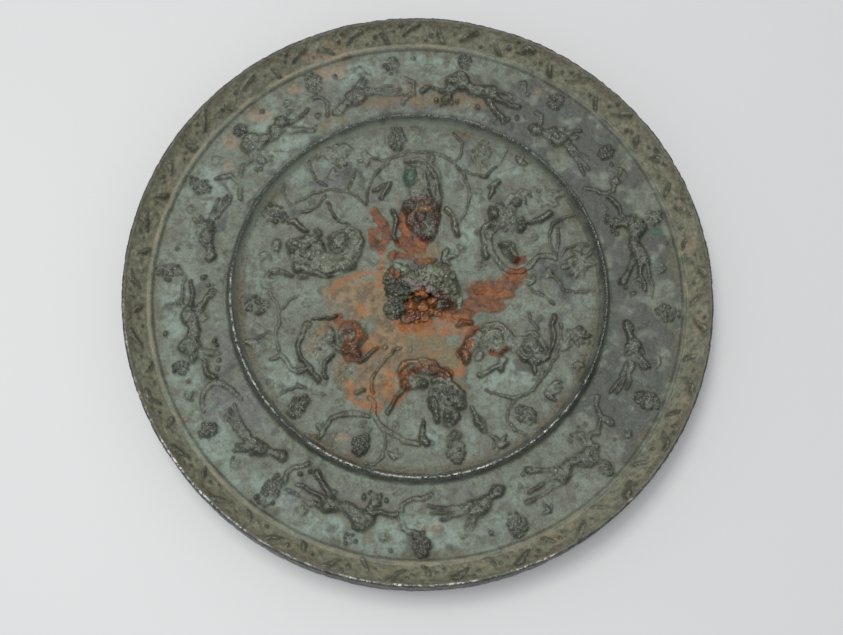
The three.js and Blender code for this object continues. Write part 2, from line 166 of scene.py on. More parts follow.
def raise_stroke(stations, height, crown=2.4, soft=0.35):
    """A rounded limb or stem through stations of x, y, half-width and share of the height."""
    whole = [tuple(s) + (1.0,) * (4 - len(s)) for s in stations]
    window = around_points(whole, 1.6 * max(s[2] for s in whole))
    x, y = plate_x[window], plate_y[window]
    dome = np.full(x.shape, -9.0)
    for (xa, ya, wa, ha), (xb, yb, wb, hb) in zip(whole, whole[1:]):
        dx, dy = xb - xa, yb - ya
        along = np.clip(((x - xa) * dx + (y - ya) * dy) / (dx * dx + dy * dy + 1e-9), 0, 1)
        distance = np.hypot(x - xa - along * dx, y - ya - along * dy)
        width = wa + (wb - wa) * along
        rise = height * (ha + (hb - ha) * along)
        dome = np.maximum(dome, rise * (1 - (distance / width) ** crown))
    relief[window] = smooth_max(relief[window], dome, soft)


def raise_dome(x, y, a, b, turn, height, crown=2.2, soft=0.35):
    """A rounded swelling over an ellipse of half-axes a and b, turned by an angle in degrees."""
    window = around_points([(x, y)], 1.6 * max(a, b))
    c, s = math.cos(math.radians(turn)), math.sin(math.radians(turn))
    across, down = plate_x[window] - x, plate_y[window] - y
    share = np.hypot((across * c + down * s) / a, (down * c - across * s) / b)
    relief[window] = smooth_max(relief[window], height * (1 - share**crown), soft)


def raise_bead(x, y, size, height, crown=2.2, soft=0.12):
    """A round dome."""
    raise_dome(x, y, size, size, 0, height, crown, soft)


def distance_to(points, x, y):
    """How far places on the plate lie from a line through points, or from one point."""
    nearest = np.full(x.shape, 999.0)
    for (xa, ya), (xb, yb) in zip(points, points[1:] or points):
        dx, dy = xb - xa, yb - ya
        along = np.clip(((x - xa) * dx + (y - ya) * dy) / (dx * dx + dy * dy + 1e-9), 0, 1)
        nearest = np.minimum(nearest, np.hypot(x - xa - along * dx, y - ya - along * dy))
    return nearest


def cut_stroke(points, half_width, depth):
    """A line cut into what already stands on the plate; it fades out where the relief is low."""
    window = around_points(points, 3 * half_width)
    distance = distance_to(points, plate_x[window], plate_y[window])
    bite = np.clip(relief[window] / depth, 0, 1)
    relief[window] -= bite * depth * np.exp(-((distance / half_width) ** 2))


def arc(cx, cy, radius, start, end, step=6.0):
    """Points along an arc, its start and end in degrees."""
    count = max(3, int(abs(end - start) / step))
    angles = [math.radians(start + (end - start) * i / count) for i in range(count + 1)]
    return [(cx + radius * math.cos(t), cy + radius * math.sin(t)) for t in angles]


def soften(field, spread):
    """Blurs a plate by a spread in millimetres."""
    fx = np.fft.fftfreq(field.shape[0], PITCH)[:, None]
    fy = np.fft.rfftfreq(field.shape[1], PITCH)[None, :]
    keep = np.exp(-2 * (math.pi * spread) ** 2 * (fx**2 + fy**2))
    return np.fft.irfft2(np.fft.rfft2(field) * keep, s=field.shape)


def cloud(spread, seed):
    """Soft random mottling with blots of about the given size, mean 0 and spread 1."""
    field = soften(np.random.default_rng(seed).standard_normal(plain.shape), spread)
    return field / field.std()


def read_off(field, x, y):
    """Values of a plate at points in millimetres, between its lines too."""
    u = np.clip((x + HALF) / PITCH, 0, len(steps) - 1.001)
    v = np.clip((y + HALF) / PITCH, 0, len(steps) - 1.001)
    i, j = u.astype(int), v.astype(int)
    p, q = u - i, v - j
    return (field[i, j] * (1 - p) * (1 - q) + field[i + 1, j] * p * (1 - q)
            + field[i, j + 1] * (1 - p) * q + field[i + 1, j + 1] * p * q)


# Six beasts crouch round the knob, each cast in one with the disc: maned heads in the round, haunches,
# curved backs and clawed legs. Corrosion has left each one different, so each is drawn by itself, in
# millimetres: broad flesh and masses with their half-axes, lean and share of the height, backs and
# limbs with their half-widths, curls with their size, and lines cut back in.
HEAD_RELIEF = 3.06
BODY_RELIEF = 1.82
LIMB_RELIEF = 1.6
CURL_RELIEF = 1.0
FLESH_RELIEF = 1.5
MASS_SPREAD = 1.04

crouching_beasts = {
    "left": {
        "flesh": [(-32.6, 13, 5.8, 4.3, 0, 0.9), (-21.2, 14.3, 5.3, 5.3, 0, 1),
                  (-27, 9.2, 8.4, 3.4, 0, 0.9)],
        "masses": [(-31.2, 13.4, 4, 3.7, 0, 0.9), (-36.2, 14.2, 2.3, 2.2, 0, 0.75),
                   (-22.6, 15, 3, 3.3, -20, 1), (-34, 8.2, 2.4, 1.7, -20, 0.6),
                   (-41.2, 13.8, 1.3, 2.7, -18, 0.5)],
        "backs": [[(-34.5, 7.4, 1.6), (-30, 6.9, 2.1), (-25.5, 6.9, 2.4), (-20.8, 8.6, 2.2),
                   (-17.8, 11.8, 1.7), (-16.7, 15.2, 1.1), (-18, 18, 0.8), (-20.6, 19.1, 0.7),
                   (-23.4, 18.6, 0.6), (-25.6, 16.6, 0.6)]],
        "limbs": [[(-32.8, 18.6, 0.7), (-34.6, 20.2, 1.1), (-36, 21.5, 1.2), (-37.8, 21.2, 1)],
                  [(-36.4, 5.4, 0.6), (-38.6, 5.9, 0.8), (-40.6, 6.4, 0.9), (-42.6, 5.8, 0.7)],
                  [(-28.6, 17.6, 0.8), (-29.6, 18.8, 0.8)], [(-33.6, 4.6, 0.9), (-32.4, 4.2, 0.8)]],
        "curls": [(-30, 16.6, 1.1), (-32.6, 16.4, 1.1), (-28.4, 14.6, 1), (-34.8, 15.8, 1),
                  (-28.6, 11.6, 1.1), (-31, 10.4, 1.1), (-33.8, 11.2, 1.1), (-36.2, 12.2, 1),
                  (-31.2, 13.6, 1.3), (-37.2, 15.6, 0.9)],
        "cuts": [[(-26, 12.6), (-23.6, 11.2), (-20.8, 11.8), (-19, 14.4), (-19.6, 17.2)],
                 [(-33, 9.2), (-29, 9.6), (-25, 9.6), (-21.6, 10.4)],
                 [(-30, 5.8), (-26, 5.4), (-22, 6.4)]],
    },
    "top": {
        "flesh": [(1.2, 22.6, 4.9, 6.6, 0, 1), (1.8, 33.6, 5.2, 7.4, -8, 0.85)],
        "masses": [(1.6, 22.6, 3.4, 4, 0, 1), (-2.4, 35.2, 2.5, 3.4, 10, 0.85),
                   (-2.2, 25.8, 2.2, 2.6, 0, 0.8), (3.4, 18, 2.2, 1.7, -30, 0.65),
                   (4.2, 25.4, 2, 3, 0, 0.9)],
        "backs": [[(-3.6, 40.2, 0.7), (0, 40.4, 1), (3.2, 38.2, 1.4), (5.2, 34.6, 1.6), (6, 30.6, 1.6),
                   (5.8, 26.8, 1.4)], [(-0.4, 38, 0.6), (1.6, 35.6, 0.8), (2.6, 32, 1), (2.8, 29.4, 1)]],
        "limbs": [[(-7.6, 24.4, 0.7), (-6.4, 22.8, 0.7), (-6.8, 20, 0.7), (-7.4, 17.4, 0.6),
                   (-6.4, 15.8, 0.7)], [(10, 22.6, 0.9), (10.8, 20, 1), (11.3, 18, 1.1)],
                  [(-8.2, 33.8, 0.6), (-9.4, 31.6, 0.7), (-11, 28.8, 0.6)],
                  [(8, 25.4, 0.9), (9.4, 23.4, 0.8)],
                  [(-12.8, 31.4, 0.7), (-11, 32, 0.6), (-9.6, 33.2, 0.5)]],
        "curls": [(-3.4, 27, 1.2), (-1.4, 28.6, 1.3), (1, 28.9, 1.2), (3.2, 28, 1.2), (5, 26, 1.2),
                  (5.6, 23.6, 1.1), (5.4, 21.2, 1.1), (4.8, 19, 1), (-2.4, 24.6, 1.1), (1.6, 23, 1.9),
                  (-0.4, 19.6, 1.1), (1.4, 17, 1.2), (4.4, 17.2, 1)],
        "cuts": [[(0.2, 39.4), (3, 37), (4.6, 33.6), (5, 29.6), (4.8, 27)],
                 [(1, 41), (4.4, 38.4), (6.4, 34), (7, 30)], [(-1.2, 27), (0.6, 26.4), (3, 26.2)],
                 [(-1.2, 24), (-0.6, 21.4), (0, 18.6)]],
    },
    "upper_right": {
        "flesh": [(25.4, 24.2, 5.4, 5, 0, 0.8), (28.4, 28.6, 3.6, 2.2, 15, 0.8),
                  (19.6, 15.4, 1.9, 5.6, -5, 0.7), (26.4, 13.4, 2.4, 3.2, 15, 0.9)],
        "masses": [(26.6, 23.2, 4, 3.6, 0, 0.55), (29.8, 20.6, 1.8, 1.8, 0, 0.8),
                   (27.4, 11.9, 1.7, 2.4, 10, 0.9), (25.4, 14.4, 2, 1.3, -15, 0.8),
                   (22, 24.2, 1.8, 2.2, 0, 0.8), (28.2, 28, 2.6, 1.6, 20, 0.8)],
        "backs": [[(20.4, 20.8, 1), (18.7, 18, 1), (18.4, 14, 1), (19.2, 10.8, 0.9)]],
        "limbs": [[(30.6, 21.4, 0.6), (33.4, 21.8, 0.7), (35.8, 23, 1), (38.2, 24.8, 1.2)],
                  [(21, 29.6, 0.6), (21.8, 31.4, 1), (21.6, 33, 0.7), (23.2, 34.4, 0.8)],
                  [(20.4, 33, 0.5), (22, 33.7, 0.6)],
                  [(28.6, 30.4, 0.7), (30.4, 31.7, 0.8), (32.4, 30.8, 0.7), (33.2, 29.4, 0.5)]],
        "curls": [(21, 25.4, 1.1), (21.6, 23, 1), (22, 20.8, 1), (22.8, 26.6, 1), (24.4, 26.8, 1.1),
                  (26.8, 29.9, 1.2), (28.8, 28.4, 1.1), (30.6, 27.6, 1.1), (31, 25.4, 1),
                  (30.4, 22.8, 1.1), (29.4, 20.6, 1.1), (27.4, 19.6, 1), (25.4, 19.6, 0.9),
                  (31.4, 30.2, 1), (25.2, 23.8, 0.8), (27.6, 22, 0.8)],
        "cuts": [[(23.8, 15.6), (25.4, 15.2), (27, 14), (28, 12)]],
    },
    "right": {
        "flesh": [(21.6, -13, 4.3, 4.8, 0, 1), (31.9, -15.4, 4.6, 4.6, 0, 1),
                  (26.6, -14.4, 3.8, 2.4, -30, 0.8), (15.4, -14.6, 2, 4.8, -38, 0.8)],
        "masses": [(21.6, -13.2, 3.2, 3.8, 20, 0.85), (31.8, -15.2, 3.9, 3.9, 0, 0.8),
                   (17, -12.4, 2.2, 1.7, 40, 0.7), (12.8, -17.6, 1.6, 2.2, 20, 0.6),
                   (25.4, -11.8, 2.2, 1.4, -40, 0.7), (17.4, -18.2, 2.4, 1.4, 30, 0.3)],
        "backs": [[(19, -9.4, 1), (21.8, -8.9, 1.1), (24.6, -10.4, 1.1), (26.6, -13, 1.1),
                   (28.4, -16, 1.1), (30.4, -19, 1.1), (33.4, -20.2, 1), (36, -18.6, 0.9),
                   (38, -15.4, 0.7), (38.4, -12.2, 0.6), (37.4, -9, 0.6), (38.6, -6.8, 0.7)]],
        "limbs": [[(18.6, -10.6, 1), (16.2, -12.6, 1), (14, -14.6, 1), (12.6, -17.4, 1.2),
                   (13, -19.6, 0.9)],
                  [(24, -19.2, 0.9), (22.2, -21.2, 1), (19.4, -23, 1), (17, -24, 0.8)],
                  [(23, -19.4, 0.7), (22.6, -22.6, 0.7)], [(31.6, -20.6, 0.9), (32.6, -22.8, 1)],
                  [(11.4, -9.2, 0.6), (13, -8.8, 0.8), (14.8, -8.4, 0.7)]],
        "curls": [(20, -10.2, 1), (22.2, -10, 1.1), (24, -11.6, 1.1), (24.8, -13.8, 1), (24.6, -16, 1.1),
                  (22.6, -17.4, 1.1), (20.6, -16.6, 1), (19.4, -15, 1), (18.4, -11.6, 1),
                  (16, -13.4, 0.9), (21.6, -13.4, 1.4), (30.8, -23.6, 0.9), (32.8, -21.8, 0.9),
                  (33.6, -23.8, 1), (35.4, -23.6, 0.9), (31.6, -25, 0.8)],
        "cuts": [[(29.4, -16.6), (30.6, -18), (32.4, -17.6), (32, -15.8), (30.4, -15.6)],
                 [(28.6, -12.6), (31.6, -11.6), (34.6, -13.4), (35.4, -16.4)]],
    },
    "bottom": {
        "flesh": [(7.4, -30.4, 5.7, 5.2, 0, 0.9), (8.6, -36.6, 2.6, 3, 0, 0.8),
                  (1.6, -21.8, 6.4, 2, -14, 1), (-1.8, -26.2, 4, 2.2, 10, 0.9)],
        "masses": [(8, -30.4, 4, 3.6, 0, 0.85), (11.6, -31.4, 1.9, 2.6, 15, 0.9),
                   (3.9, -32.4, 1.4, 2.9, 20, 0.75), (7.9, -36.2, 1.5, 2.1, 10, 0.8),
                   (9.7, -41.2, 2.4, 1.5, 25, 0.55), (-3.4, -26.4, 2.6, 1.5, 15, 0.5),
                   (0.6, -26.2, 1.7, 1.7, 0, 0.65), (10.6, -35.8, 1.2, 1.4, 0, 0.6)],
        "backs": [[(-5.6, -22.6, 0.7), (-4, -20.8, 1), (0, -20.2, 1.3), (4, -21.2, 1.4), (7, -23.6, 1.2),
                   (8.6, -25.4, 0.8)],
                  [(4, -25.8, 1), (6.6, -25.6, 1.3), (9.6, -26.8, 1.4), (12, -29.4, 1.5),
                   (12.2, -32.6, 1.3)]],
        "limbs": [[(0.9, -36.8, 0.5), (0.9, -39.4, 0.8), (1.1, -41.4, 0.8), (2, -43.4, 1)],
                  [(14.8, -33, 0.6), (15.8, -35.6, 0.9), (16.8, -38, 1.3), (17.8, -38.6, 1.1)],
                  [(4.4, -34.4, 1), (5.2, -37.2, 0.9)],
                  [(-4.4, -28, 0.6), (-6.6, -30.4, 0.6), (-7.6, -33, 0.6), (-9, -34.8, 0.7)]],
        "curls": [(0.6, -26.4, 1.6), (4.4, -28.6, 1.1), (6.4, -27.6, 1), (8.6, -27.8, 1.1),
                  (10.6, -29, 1.1), (12, -31, 1.1), (11.6, -33.2, 1), (3.6, -31, 1), (4.2, -33.6, 1),
                  (5.2, -36, 0.9), (7.8, -36.2, 1.3), (7.4, -33.8, 0.9), (8, -30.8, 1.2), (9.6, -38, 0.9),
                  (9.4, -41.2, 1.2), (16.2, -37.8, 0.9), (17.8, -37.4, 0.8), (17.6, -39.4, 0.9)],
        "cuts": [[(-4.6, -22.2), (-2.4, -21), (1, -20.6), (4, -21.6), (6.6, -23.8)],
                 [(5, -28.6), (7.4, -29.4), (9.4, -29.2)], [(3.2, -31), (4.4, -33.8)]],
    },
    "lower_left": {
        "flesh": [(-19, -12.4, 4.4, 4.5, 0, 1), (-28.6, -15, 6, 6.8, 0, 0.55),
                  (-29.4, -22.6, 2.2, 4, 25, 0.5)],
        "masses": [(-19.8, -12.4, 2.5, 2.5, 0, 0.9), (-16.6, -12.4, 2.1, 2.1, 0, 0.75),
                   (-25.2, -13, 1.7, 2.8, 10, 0.6), (-18.6, -17.4, 2.2, 1.6, -20, 0.5),
                   (-31.6, -10, 1.4, 1.3, 0, 0.6), (-28, -14.6, 3.4, 3, 0, 0.3)],
        "backs": [[(-31.6, -10.4, 0.7), (-33.6, -12.6, 0.7), (-34.4, -15.6, 0.8), (-33.4, -19.2, 0.8),
                   (-31, -22, 0.8), (-29.2, -24.6, 0.8), (-28, -26, 1)],
                  [(-24.4, -18.4, 0.6), (-26.4, -20.4, 0.7), (-27, -23, 0.6), (-26, -25.2, 0.6)]],
        "limbs": [[(-16.8, -20, 0.6), (-14, -18, 0.7), (-12, -16.4, 0.7)],
                  [(-24.6, -15, 0.8), (-22.6, -17, 0.9), (-20.6, -17.6, 0.8)],
                  [(-30, -8.4, 0.5), (-27, -7.4, 0.6), (-24, -6.6, 0.5)],
                  [(-17.4, -29, 0.4), (-15.6, -28.4, 0.6)]],
        "curls": [(-19.8, -12.4, 2.1), (-16.4, -12.2, 1.3), (-18.8, -8.8, 1.2), (-15.6, -9.6, 1),
                  (-17.4, -15.2, 1), (-27, -26.6, 1.5), (-23.7, -25.6, 0.9), (-21.2, -25.4, 1.6),
                  (-21.8, -27.4, 1), (-22.6, -23.6, 0.8), (-19.8, -23.4, 0.8), (-9.3, -13.6, 0.9),
                  (-9.3, -16, 1), (-11.4, -14, 0.8), (-11.3, -16, 0.7), (-20.6, -21.8, 0.6),
                  (-18, -22.4, 0.6), (-29.8, -12.6, 0.8), (-31, -16.4, 0.8), (-28.4, -16.6, 0.8)],
        "cuts": [],
    },
}


def raise_curl(x, y, size, height):
    """A curl of mane or a bead: a round with a spiral cut into it."""
    raise_bead(x, y, size, height)
    cut_stroke(arc(x, y, size * 0.5, 20, 300, 35), 0.13 + 0.08 * size, 0.3)


for beast in crouching_beasts.values():
    for x, y, a, b, lean, share in beast["flesh"]:
        raise_dome(x, y, a, b, lean, FLESH_RELIEF * share, crown=5, soft=0.5)
    for x, y, a, b, lean, share in beast["masses"]:
        wide, tall = a * MASS_SPREAD, b * MASS_SPREAD
        raise_dome(x, y, wide, tall, lean, HEAD_RELIEF * share, crown=3, soft=0.6)
    for back in beast["backs"]:
        raise_stroke(back, BODY_RELIEF, crown=3.4, soft=0.5)
    for limb in beast["limbs"]:
        raise_stroke(limb, LIMB_RELIEF, soft=0.2)
    for line in beast["cuts"]:
        cut_stroke(line, 0.3, 0.8)
    for x, y, size in beast["curls"]:
        ground = float(relief[int((x + HALF) / PITCH), int((y + HALF) / PITCH)])
        raise_curl(x, y, size, max(ground, 0) + CURL_RELIEF * min(1, 0.5 + 0.4 * size))

# The gaps within each beast are part of its body, so they are filled to a low swelling.
within = 2.4 * (soften(np.minimum(relief, 1.6), 0.9) - 0.75)
relief = smooth_max(relief, np.clip(within, 0, 1.3), 0.3)

# Vines loop between the beasts as thin raised lines, many of them double, with leaves and small
# round rosettes in the gaps.
VINE_HALF_WIDTH = 0.38
THICK_VINE_HALF_WIDTH = 0.7
TENDRIL_HALF_WIDTH = 0.66
VINE_RELIEF = 1.0

thick_vines = [
    [(-41.6, -19.8), (-39.6, -18.4), (-37.8, -19.6), (-36.2, -22), (-34.5, -22.9), (-32.4, -22.4)],
    [(-27.6, -41.6), (-25.6, -38.8), (-24.4, -36.7), (-22, -35.5), (-18, -35.2), (-14, -35.5)],
    [(-12.8, -34.2), (-11.5, -37), (-9.5, -39.6), (-7, -41), (-4.5, -42.6), (-2, -43.2), (0, -43.2)],
    [(22.6, 19.6), (21, 18.2), (20.6, 15.4), (21.3, 12.3), (23.5, 8.9), (26.5, 6.9), (29, 6.5),
     (31.5, 7.7), (33.5, 9.9), (35, 11.3), (38, 11.1), (39.8, 10.8)],
    [(-13.8, -30.2), (-12.6, -31.8), (-12.4, -34)],
    [(42, 8.4), (45, 9.6), (48, 9), (50.8, 9.6)],
]
thin_vines = [
    [(-16.4, 43.6), (-14, 41.8), (-11, 40.3), (-8, 41), (-5, 42.8), (-1, 43.8), (3, 43.8), (7, 42.7),
     (10.6, 40.4), (13.2, 37), (14.8, 33.4), (15.1, 30), (14.4, 27), (13, 24), (12, 22.4)],
    [(-15, 27.6), (-15, 31), (-14, 35), (-11.6, 38), (-8.6, 40.2)],
    [(-18.2, 37.8), (-20, 34), (-21, 31)],
    [(10.4, 49.6), (12.2, 46.4), (12.4, 43.6), (11, 41)],
    [(13.4, 38), (16, 36.4), (19, 36.3), (22, 37.6), (24.6, 40.4), (26, 44), (26.4, 46.6)],
    [(-39.2, 33), (-39.4, 30.4), (-38.6, 28), (-37.4, 26.2)],
    [(-35.4, 27), (-33, 29), (-29, 30.8), (-26, 31.4), (-22, 30.8), (-18.4, 29.4), (-15.6, 27)],
    [(-34.6, 24.6), (-31, 24.9), (-29, 26.2), (-27, 29.4)],
    [(-32, 40), (-31.6, 37), (-29.6, 34.4), (-26.6, 32.8)],
    [(-26.6, 27), (-25.6, 24.6), (-23.2, 22), (-20.8, 20.8)],
    [(-42.6, 0), (-40.6, -3), (-39.8, -7), (-40.2, -12), (-39.4, -17)],
    [(-39.2, -4.6), (-37, -2.6), (-35, -0.8)],
    [(-48, -15.4), (-45, -13), (-42.4, -11.8), (-41, -12.4)],
    [(-34.2, -26), (-31.6, -28), (-29, -29.2), (-26.4, -29.6)],
    [(-39.6, -30), (-37, -28.6), (-34.4, -27.4), (-31.6, -27.6)],
    [(-12, -36.8), (-10, -40.6), (-9.4, -44), (-10.4, -47.6), (-12.6, -49.4), (-15.4, -49)],
    [(-5, -16.4), (-8, -17.8), (-10, -20.2), (-12.4, -23.6), (-13.8, -25.6), (-12.8, -28.6)],
    [(31, -5), (32, -8), (33.6, -10.6)],
    [(32, 1.6), (35.6, -0.4), (38.6, -3)],
    [(40.2, -9), (40.4, -14), (38.8, -19.4), (36, -23), (33, -27), (30, -29.6), (26.6, -30.4),
     (22.4, -29.7), (19, -28.2)],
    [(27, -30.6), (25.6, -33.6), (25.2, -37), (26.8, -39.8), (30, -41)],
    [(45.6, 24.2), (42.2, 23.2), (39.4, 21.4), (38, 18), (38.4, 14), (39.4, 11.6)],
    [(40.6, 20), (40.8, 15), (40, 11.6)],
    [(41.4, 12), (43.4, 14), (46, 15), (49, 14.6)],
    [(43, 10.4), (46.6, 11.6), (49.6, 12), (51, 13.6)],
    [(37.6, 6.8), (40, 4.4), (42, 1.6), (45, 0.8), (49, 1)],
    [(-5.4, 51), (-5, 48.6), (-5.2, 46)],
    [(17.6, -40), (20, -40.6), (21.6, -42.4), (20.6, -44.6)],
]
for line in thick_vines:
    stem = [(x, y, THICK_VINE_HALF_WIDTH) for x, y in line]
    raise_stroke(stem, VINE_RELIEF * 1.2, crown=4, soft=0.12)
    cut_stroke(line, 0.24, 0.8)
for line in thin_vines:
    raise_stroke([(x, y, VINE_HALF_WIDTH) for x, y in line], VINE_RELIEF, soft=0.15)


def raise_leaf(x, y, turn, size, height=0.9):
    """A vine leaf: three lobes from one stalk, each with a vein cut down its middle."""
    for spread, reach in ((-48, 0.8), (0, 1.0), (48, 0.8)):
        t = math.radians(turn + spread)
        tip = (x + size * reach * math.cos(t), y + size * reach * math.sin(t))
        middle = ((x + tip[0]) / 2, (y + tip[1]) / 2)
        raise_stroke([(x, y, 0.18 * size), (*middle, 0.25 * size), (*tip, 0.1 * size)], height, soft=0.15)
        cut_stroke([(x, y), tip], 0.14, 0.3)


def raise_rosette(x, y, size):
    """A small flower: a bead in a ring of petals."""
    raise_bead(x, y, 0.4 * size, 0.9, soft=0.1)
    for k in range(6):
        t = math.radians(60 * k)
        px, py = x + 0.75 * size * math.cos(t), y + 0.75 * size * math.sin(t)
        raise_bead(px, py, 0.36 * size, 0.7, soft=0.1)


inner_leaves = [
    (-28.4, 44.2, 300, 4.4), (-24.6, 45, 295, 6), (-26, 35.4, 20, 3.4), (-14.6, 41.6, 200, 3.6),
    (-44, 12, 250, 3), (-28, -39.6, 60, 2.4), (22.4, -44, 60, 3.4), (37, 28, 40, 5), (41, 30.4, 60, 3),
    (36, -29, 10, 4), (43.6, -12, 350, 4.6), (46, 7, 200, 3), (47.6, 11, 190, 4.6), (29.6, 40, 60, 3.4),
    (33.4, 3.6, 160, 3), (37, 5.6, 90, 2.4), (12, 14.6, 300, 2.4), (7, 10.6, 10, 4), (-7, -47.6, 80, 3),
    (38, -26, 330, 3), (41, -16, 60, 3.4), (17, 40.6, 340, 3), (5, 41.4, 170, 2.6), (-44.6, 2.4, 20, 4),
    (-47.6, -13.6, 280, 3), (45, -20, 260, 2.6),
]
for leaf in inner_leaves:
    raise_leaf(*leaf)
inner_rosettes = [
    (-31.2, 27.6, 1.2), (-23, 28.4, 1.2), (-16.4, 22.6, 1.1), (-31.8, -3, 1.4), (-42, -5.8, 1),
    (-16.4, 34.6, 1.2), (-38, -9.6, 1.1), (-36.4, -7.8, 1), (-36.4, -11.4, 1), (-38.6, -8, 0.8),
    (-41.4, -26.6, 1.2), (-22.6, -32, 1.2), (-6.6, -38.6, 1.3), (-2.6, -16.4, 1.1), (17.4, 8.6, 1.6),
    (12, 13.8, 1.2), (33.6, 17, 1), (34, 13.6, 1), (46.6, 14, 1), (17.4, 31.4, 1), (24.6, -26.6, 1.1),
    (11.6, 33, 1.6), (-13.6, -1, 1), (-14.6, -38.8, 1.4), (31, 26, 0.9), (47, 6.4, 1), (-46, 20, 0.9),
    (-15, -12.8, 0.9), (17.4, 1.2, 1.4), (9.6, -5.4, 1), (-9.4, -26, 0.9), (47.4, 9.4, 0.8),
]
for rosette in inner_rosettes:
    raise_rosette(*rosette)

# Grape bunches hang inward from the ridge ring and from the thin ring: round berries packed in
# rows that narrow to the tip, each a little out of line, on a low swelling.
BERRY_PITCH = 1.36
BERRY_RADIUS = 0.66
BERRY_RELIEF = 1.7
BUNCH_REACH = 3.2
berry_random = np.random.default_rng(12)
bunch_spots = []
# Each inner bunch: bearing, radius of its top, and how strongly it still stands.
inner_bunches = [
    (97.8, 51.6, 1), (66.6, 51.4, 0.7), (150.4, 51.6, 0.85), (184.9, 50, 0.9), (224.4, 50.8, 1.1),
    (249.6, 50, 1), (282.4, 50.4, 0.7), (310.6, 49.6, 0.8), (344.8, 50.6, 0.6), (38.5, 51.6, 0.45),
    (12, 51.6, 0.4), (119.7, 51.6, 0.5),
]


def raise_bunch(bearing, radius, count, rise=1.0):
    """A bunch of so many rows, whose top is at a radius and which hangs towards the axis."""
    t = math.radians(bearing)
    outward, sideways = (math.cos(t), math.sin(t)), (-math.sin(t), math.cos(t))
    row_step = BERRY_PITCH * 0.87
    middle = radius - count * row_step / 2
    centre = (middle * outward[0], middle * outward[1])
    bunch_spots.append((*centre, BUNCH_REACH, BUNCH_REACH, 0.9 * rise))
    length, width = count * row_step * 0.5, 4 * BERRY_PITCH * 0.46
    raise_dome(*centre, length, width, bearing, BERRY_RELIEF * 0.45 * rise)
    for row in range(count):
        berries = min(4, 2 + row, 1 + count - row)
        for k in range(berries):
            stray, shift = berry_random.normal(0, 0.16, 2)
            size = berry_random.uniform(0.75, 1.12)
            aside = (k - (berries - 1) / 2) * BERRY_PITCH + stray
            r = radius - (row + 0.5) * row_step + shift
            bx, by = r * outward[0] + aside * sideways[0], r * outward[1] + aside * sideways[1]
            raise_bead(bx, by, BERRY_RADIUS * size, BERRY_RELIEF * rise * size, crown=3, soft=0.04)


for bearing, radius, rise in inner_bunches:
    raise_bunch(bearing, radius, 6, rise)

# In the outer field six beasts run counter-clockwise, with six birds flying between them, cast in
# one with the disc. They are laid out by bearing in degrees and radius, so that they bend with the
# ring, each with how strongly it still stands.
RUNNER_RELIEF = 2.1
BIRD_RELIEF = 1.9
runners = [(18, 1), (79.5, 1), (137, 0.75), (194.5, 1), (256, 1), (315, 0.95)]
birds = [(49.5, 0.9), (107, 0.9), (164.5, 0.8), (225, 1), (285, 1), (344.5, 1)]
outer_bunches = [
    (55.5, 75, 5), (38, 72.6, 4), (18.5, 75, 4), (355.5, 75, 6), (116, 75, 6), (96.5, 74.2, 5),
    (79, 75.4, 4), (175.5, 74.6, 6), (153.5, 74.2, 6), (137, 73.6, 3), (234.5, 75, 8), (214.5, 73.4, 5),
    (198.5, 73, 4), (292, 74.6, 6), (270.5, 75, 6), (255, 74.2, 3), (334, 75, 6), (316, 74.2, 4),
]


def ring_point(bearing, turn, radius):
    """A point at a bearing plus a turn, both in degrees, and a radius."""
    t = math.radians(bearing + turn)
    return radius * math.cos(t), radius * math.sin(t)


def on_ring(bearing, stations, stoutness=1.0):
    """Stations of turn in degrees, radius, half-width and the rest, as x, y, half-width and the rest."""
    placed = []
    for turn, r, *rest in stations:
        widths = [rest[0] * stoutness] if rest else []
        placed.append((*ring_point(bearing, turn, r), *widths, *rest[1:]))
    return placed


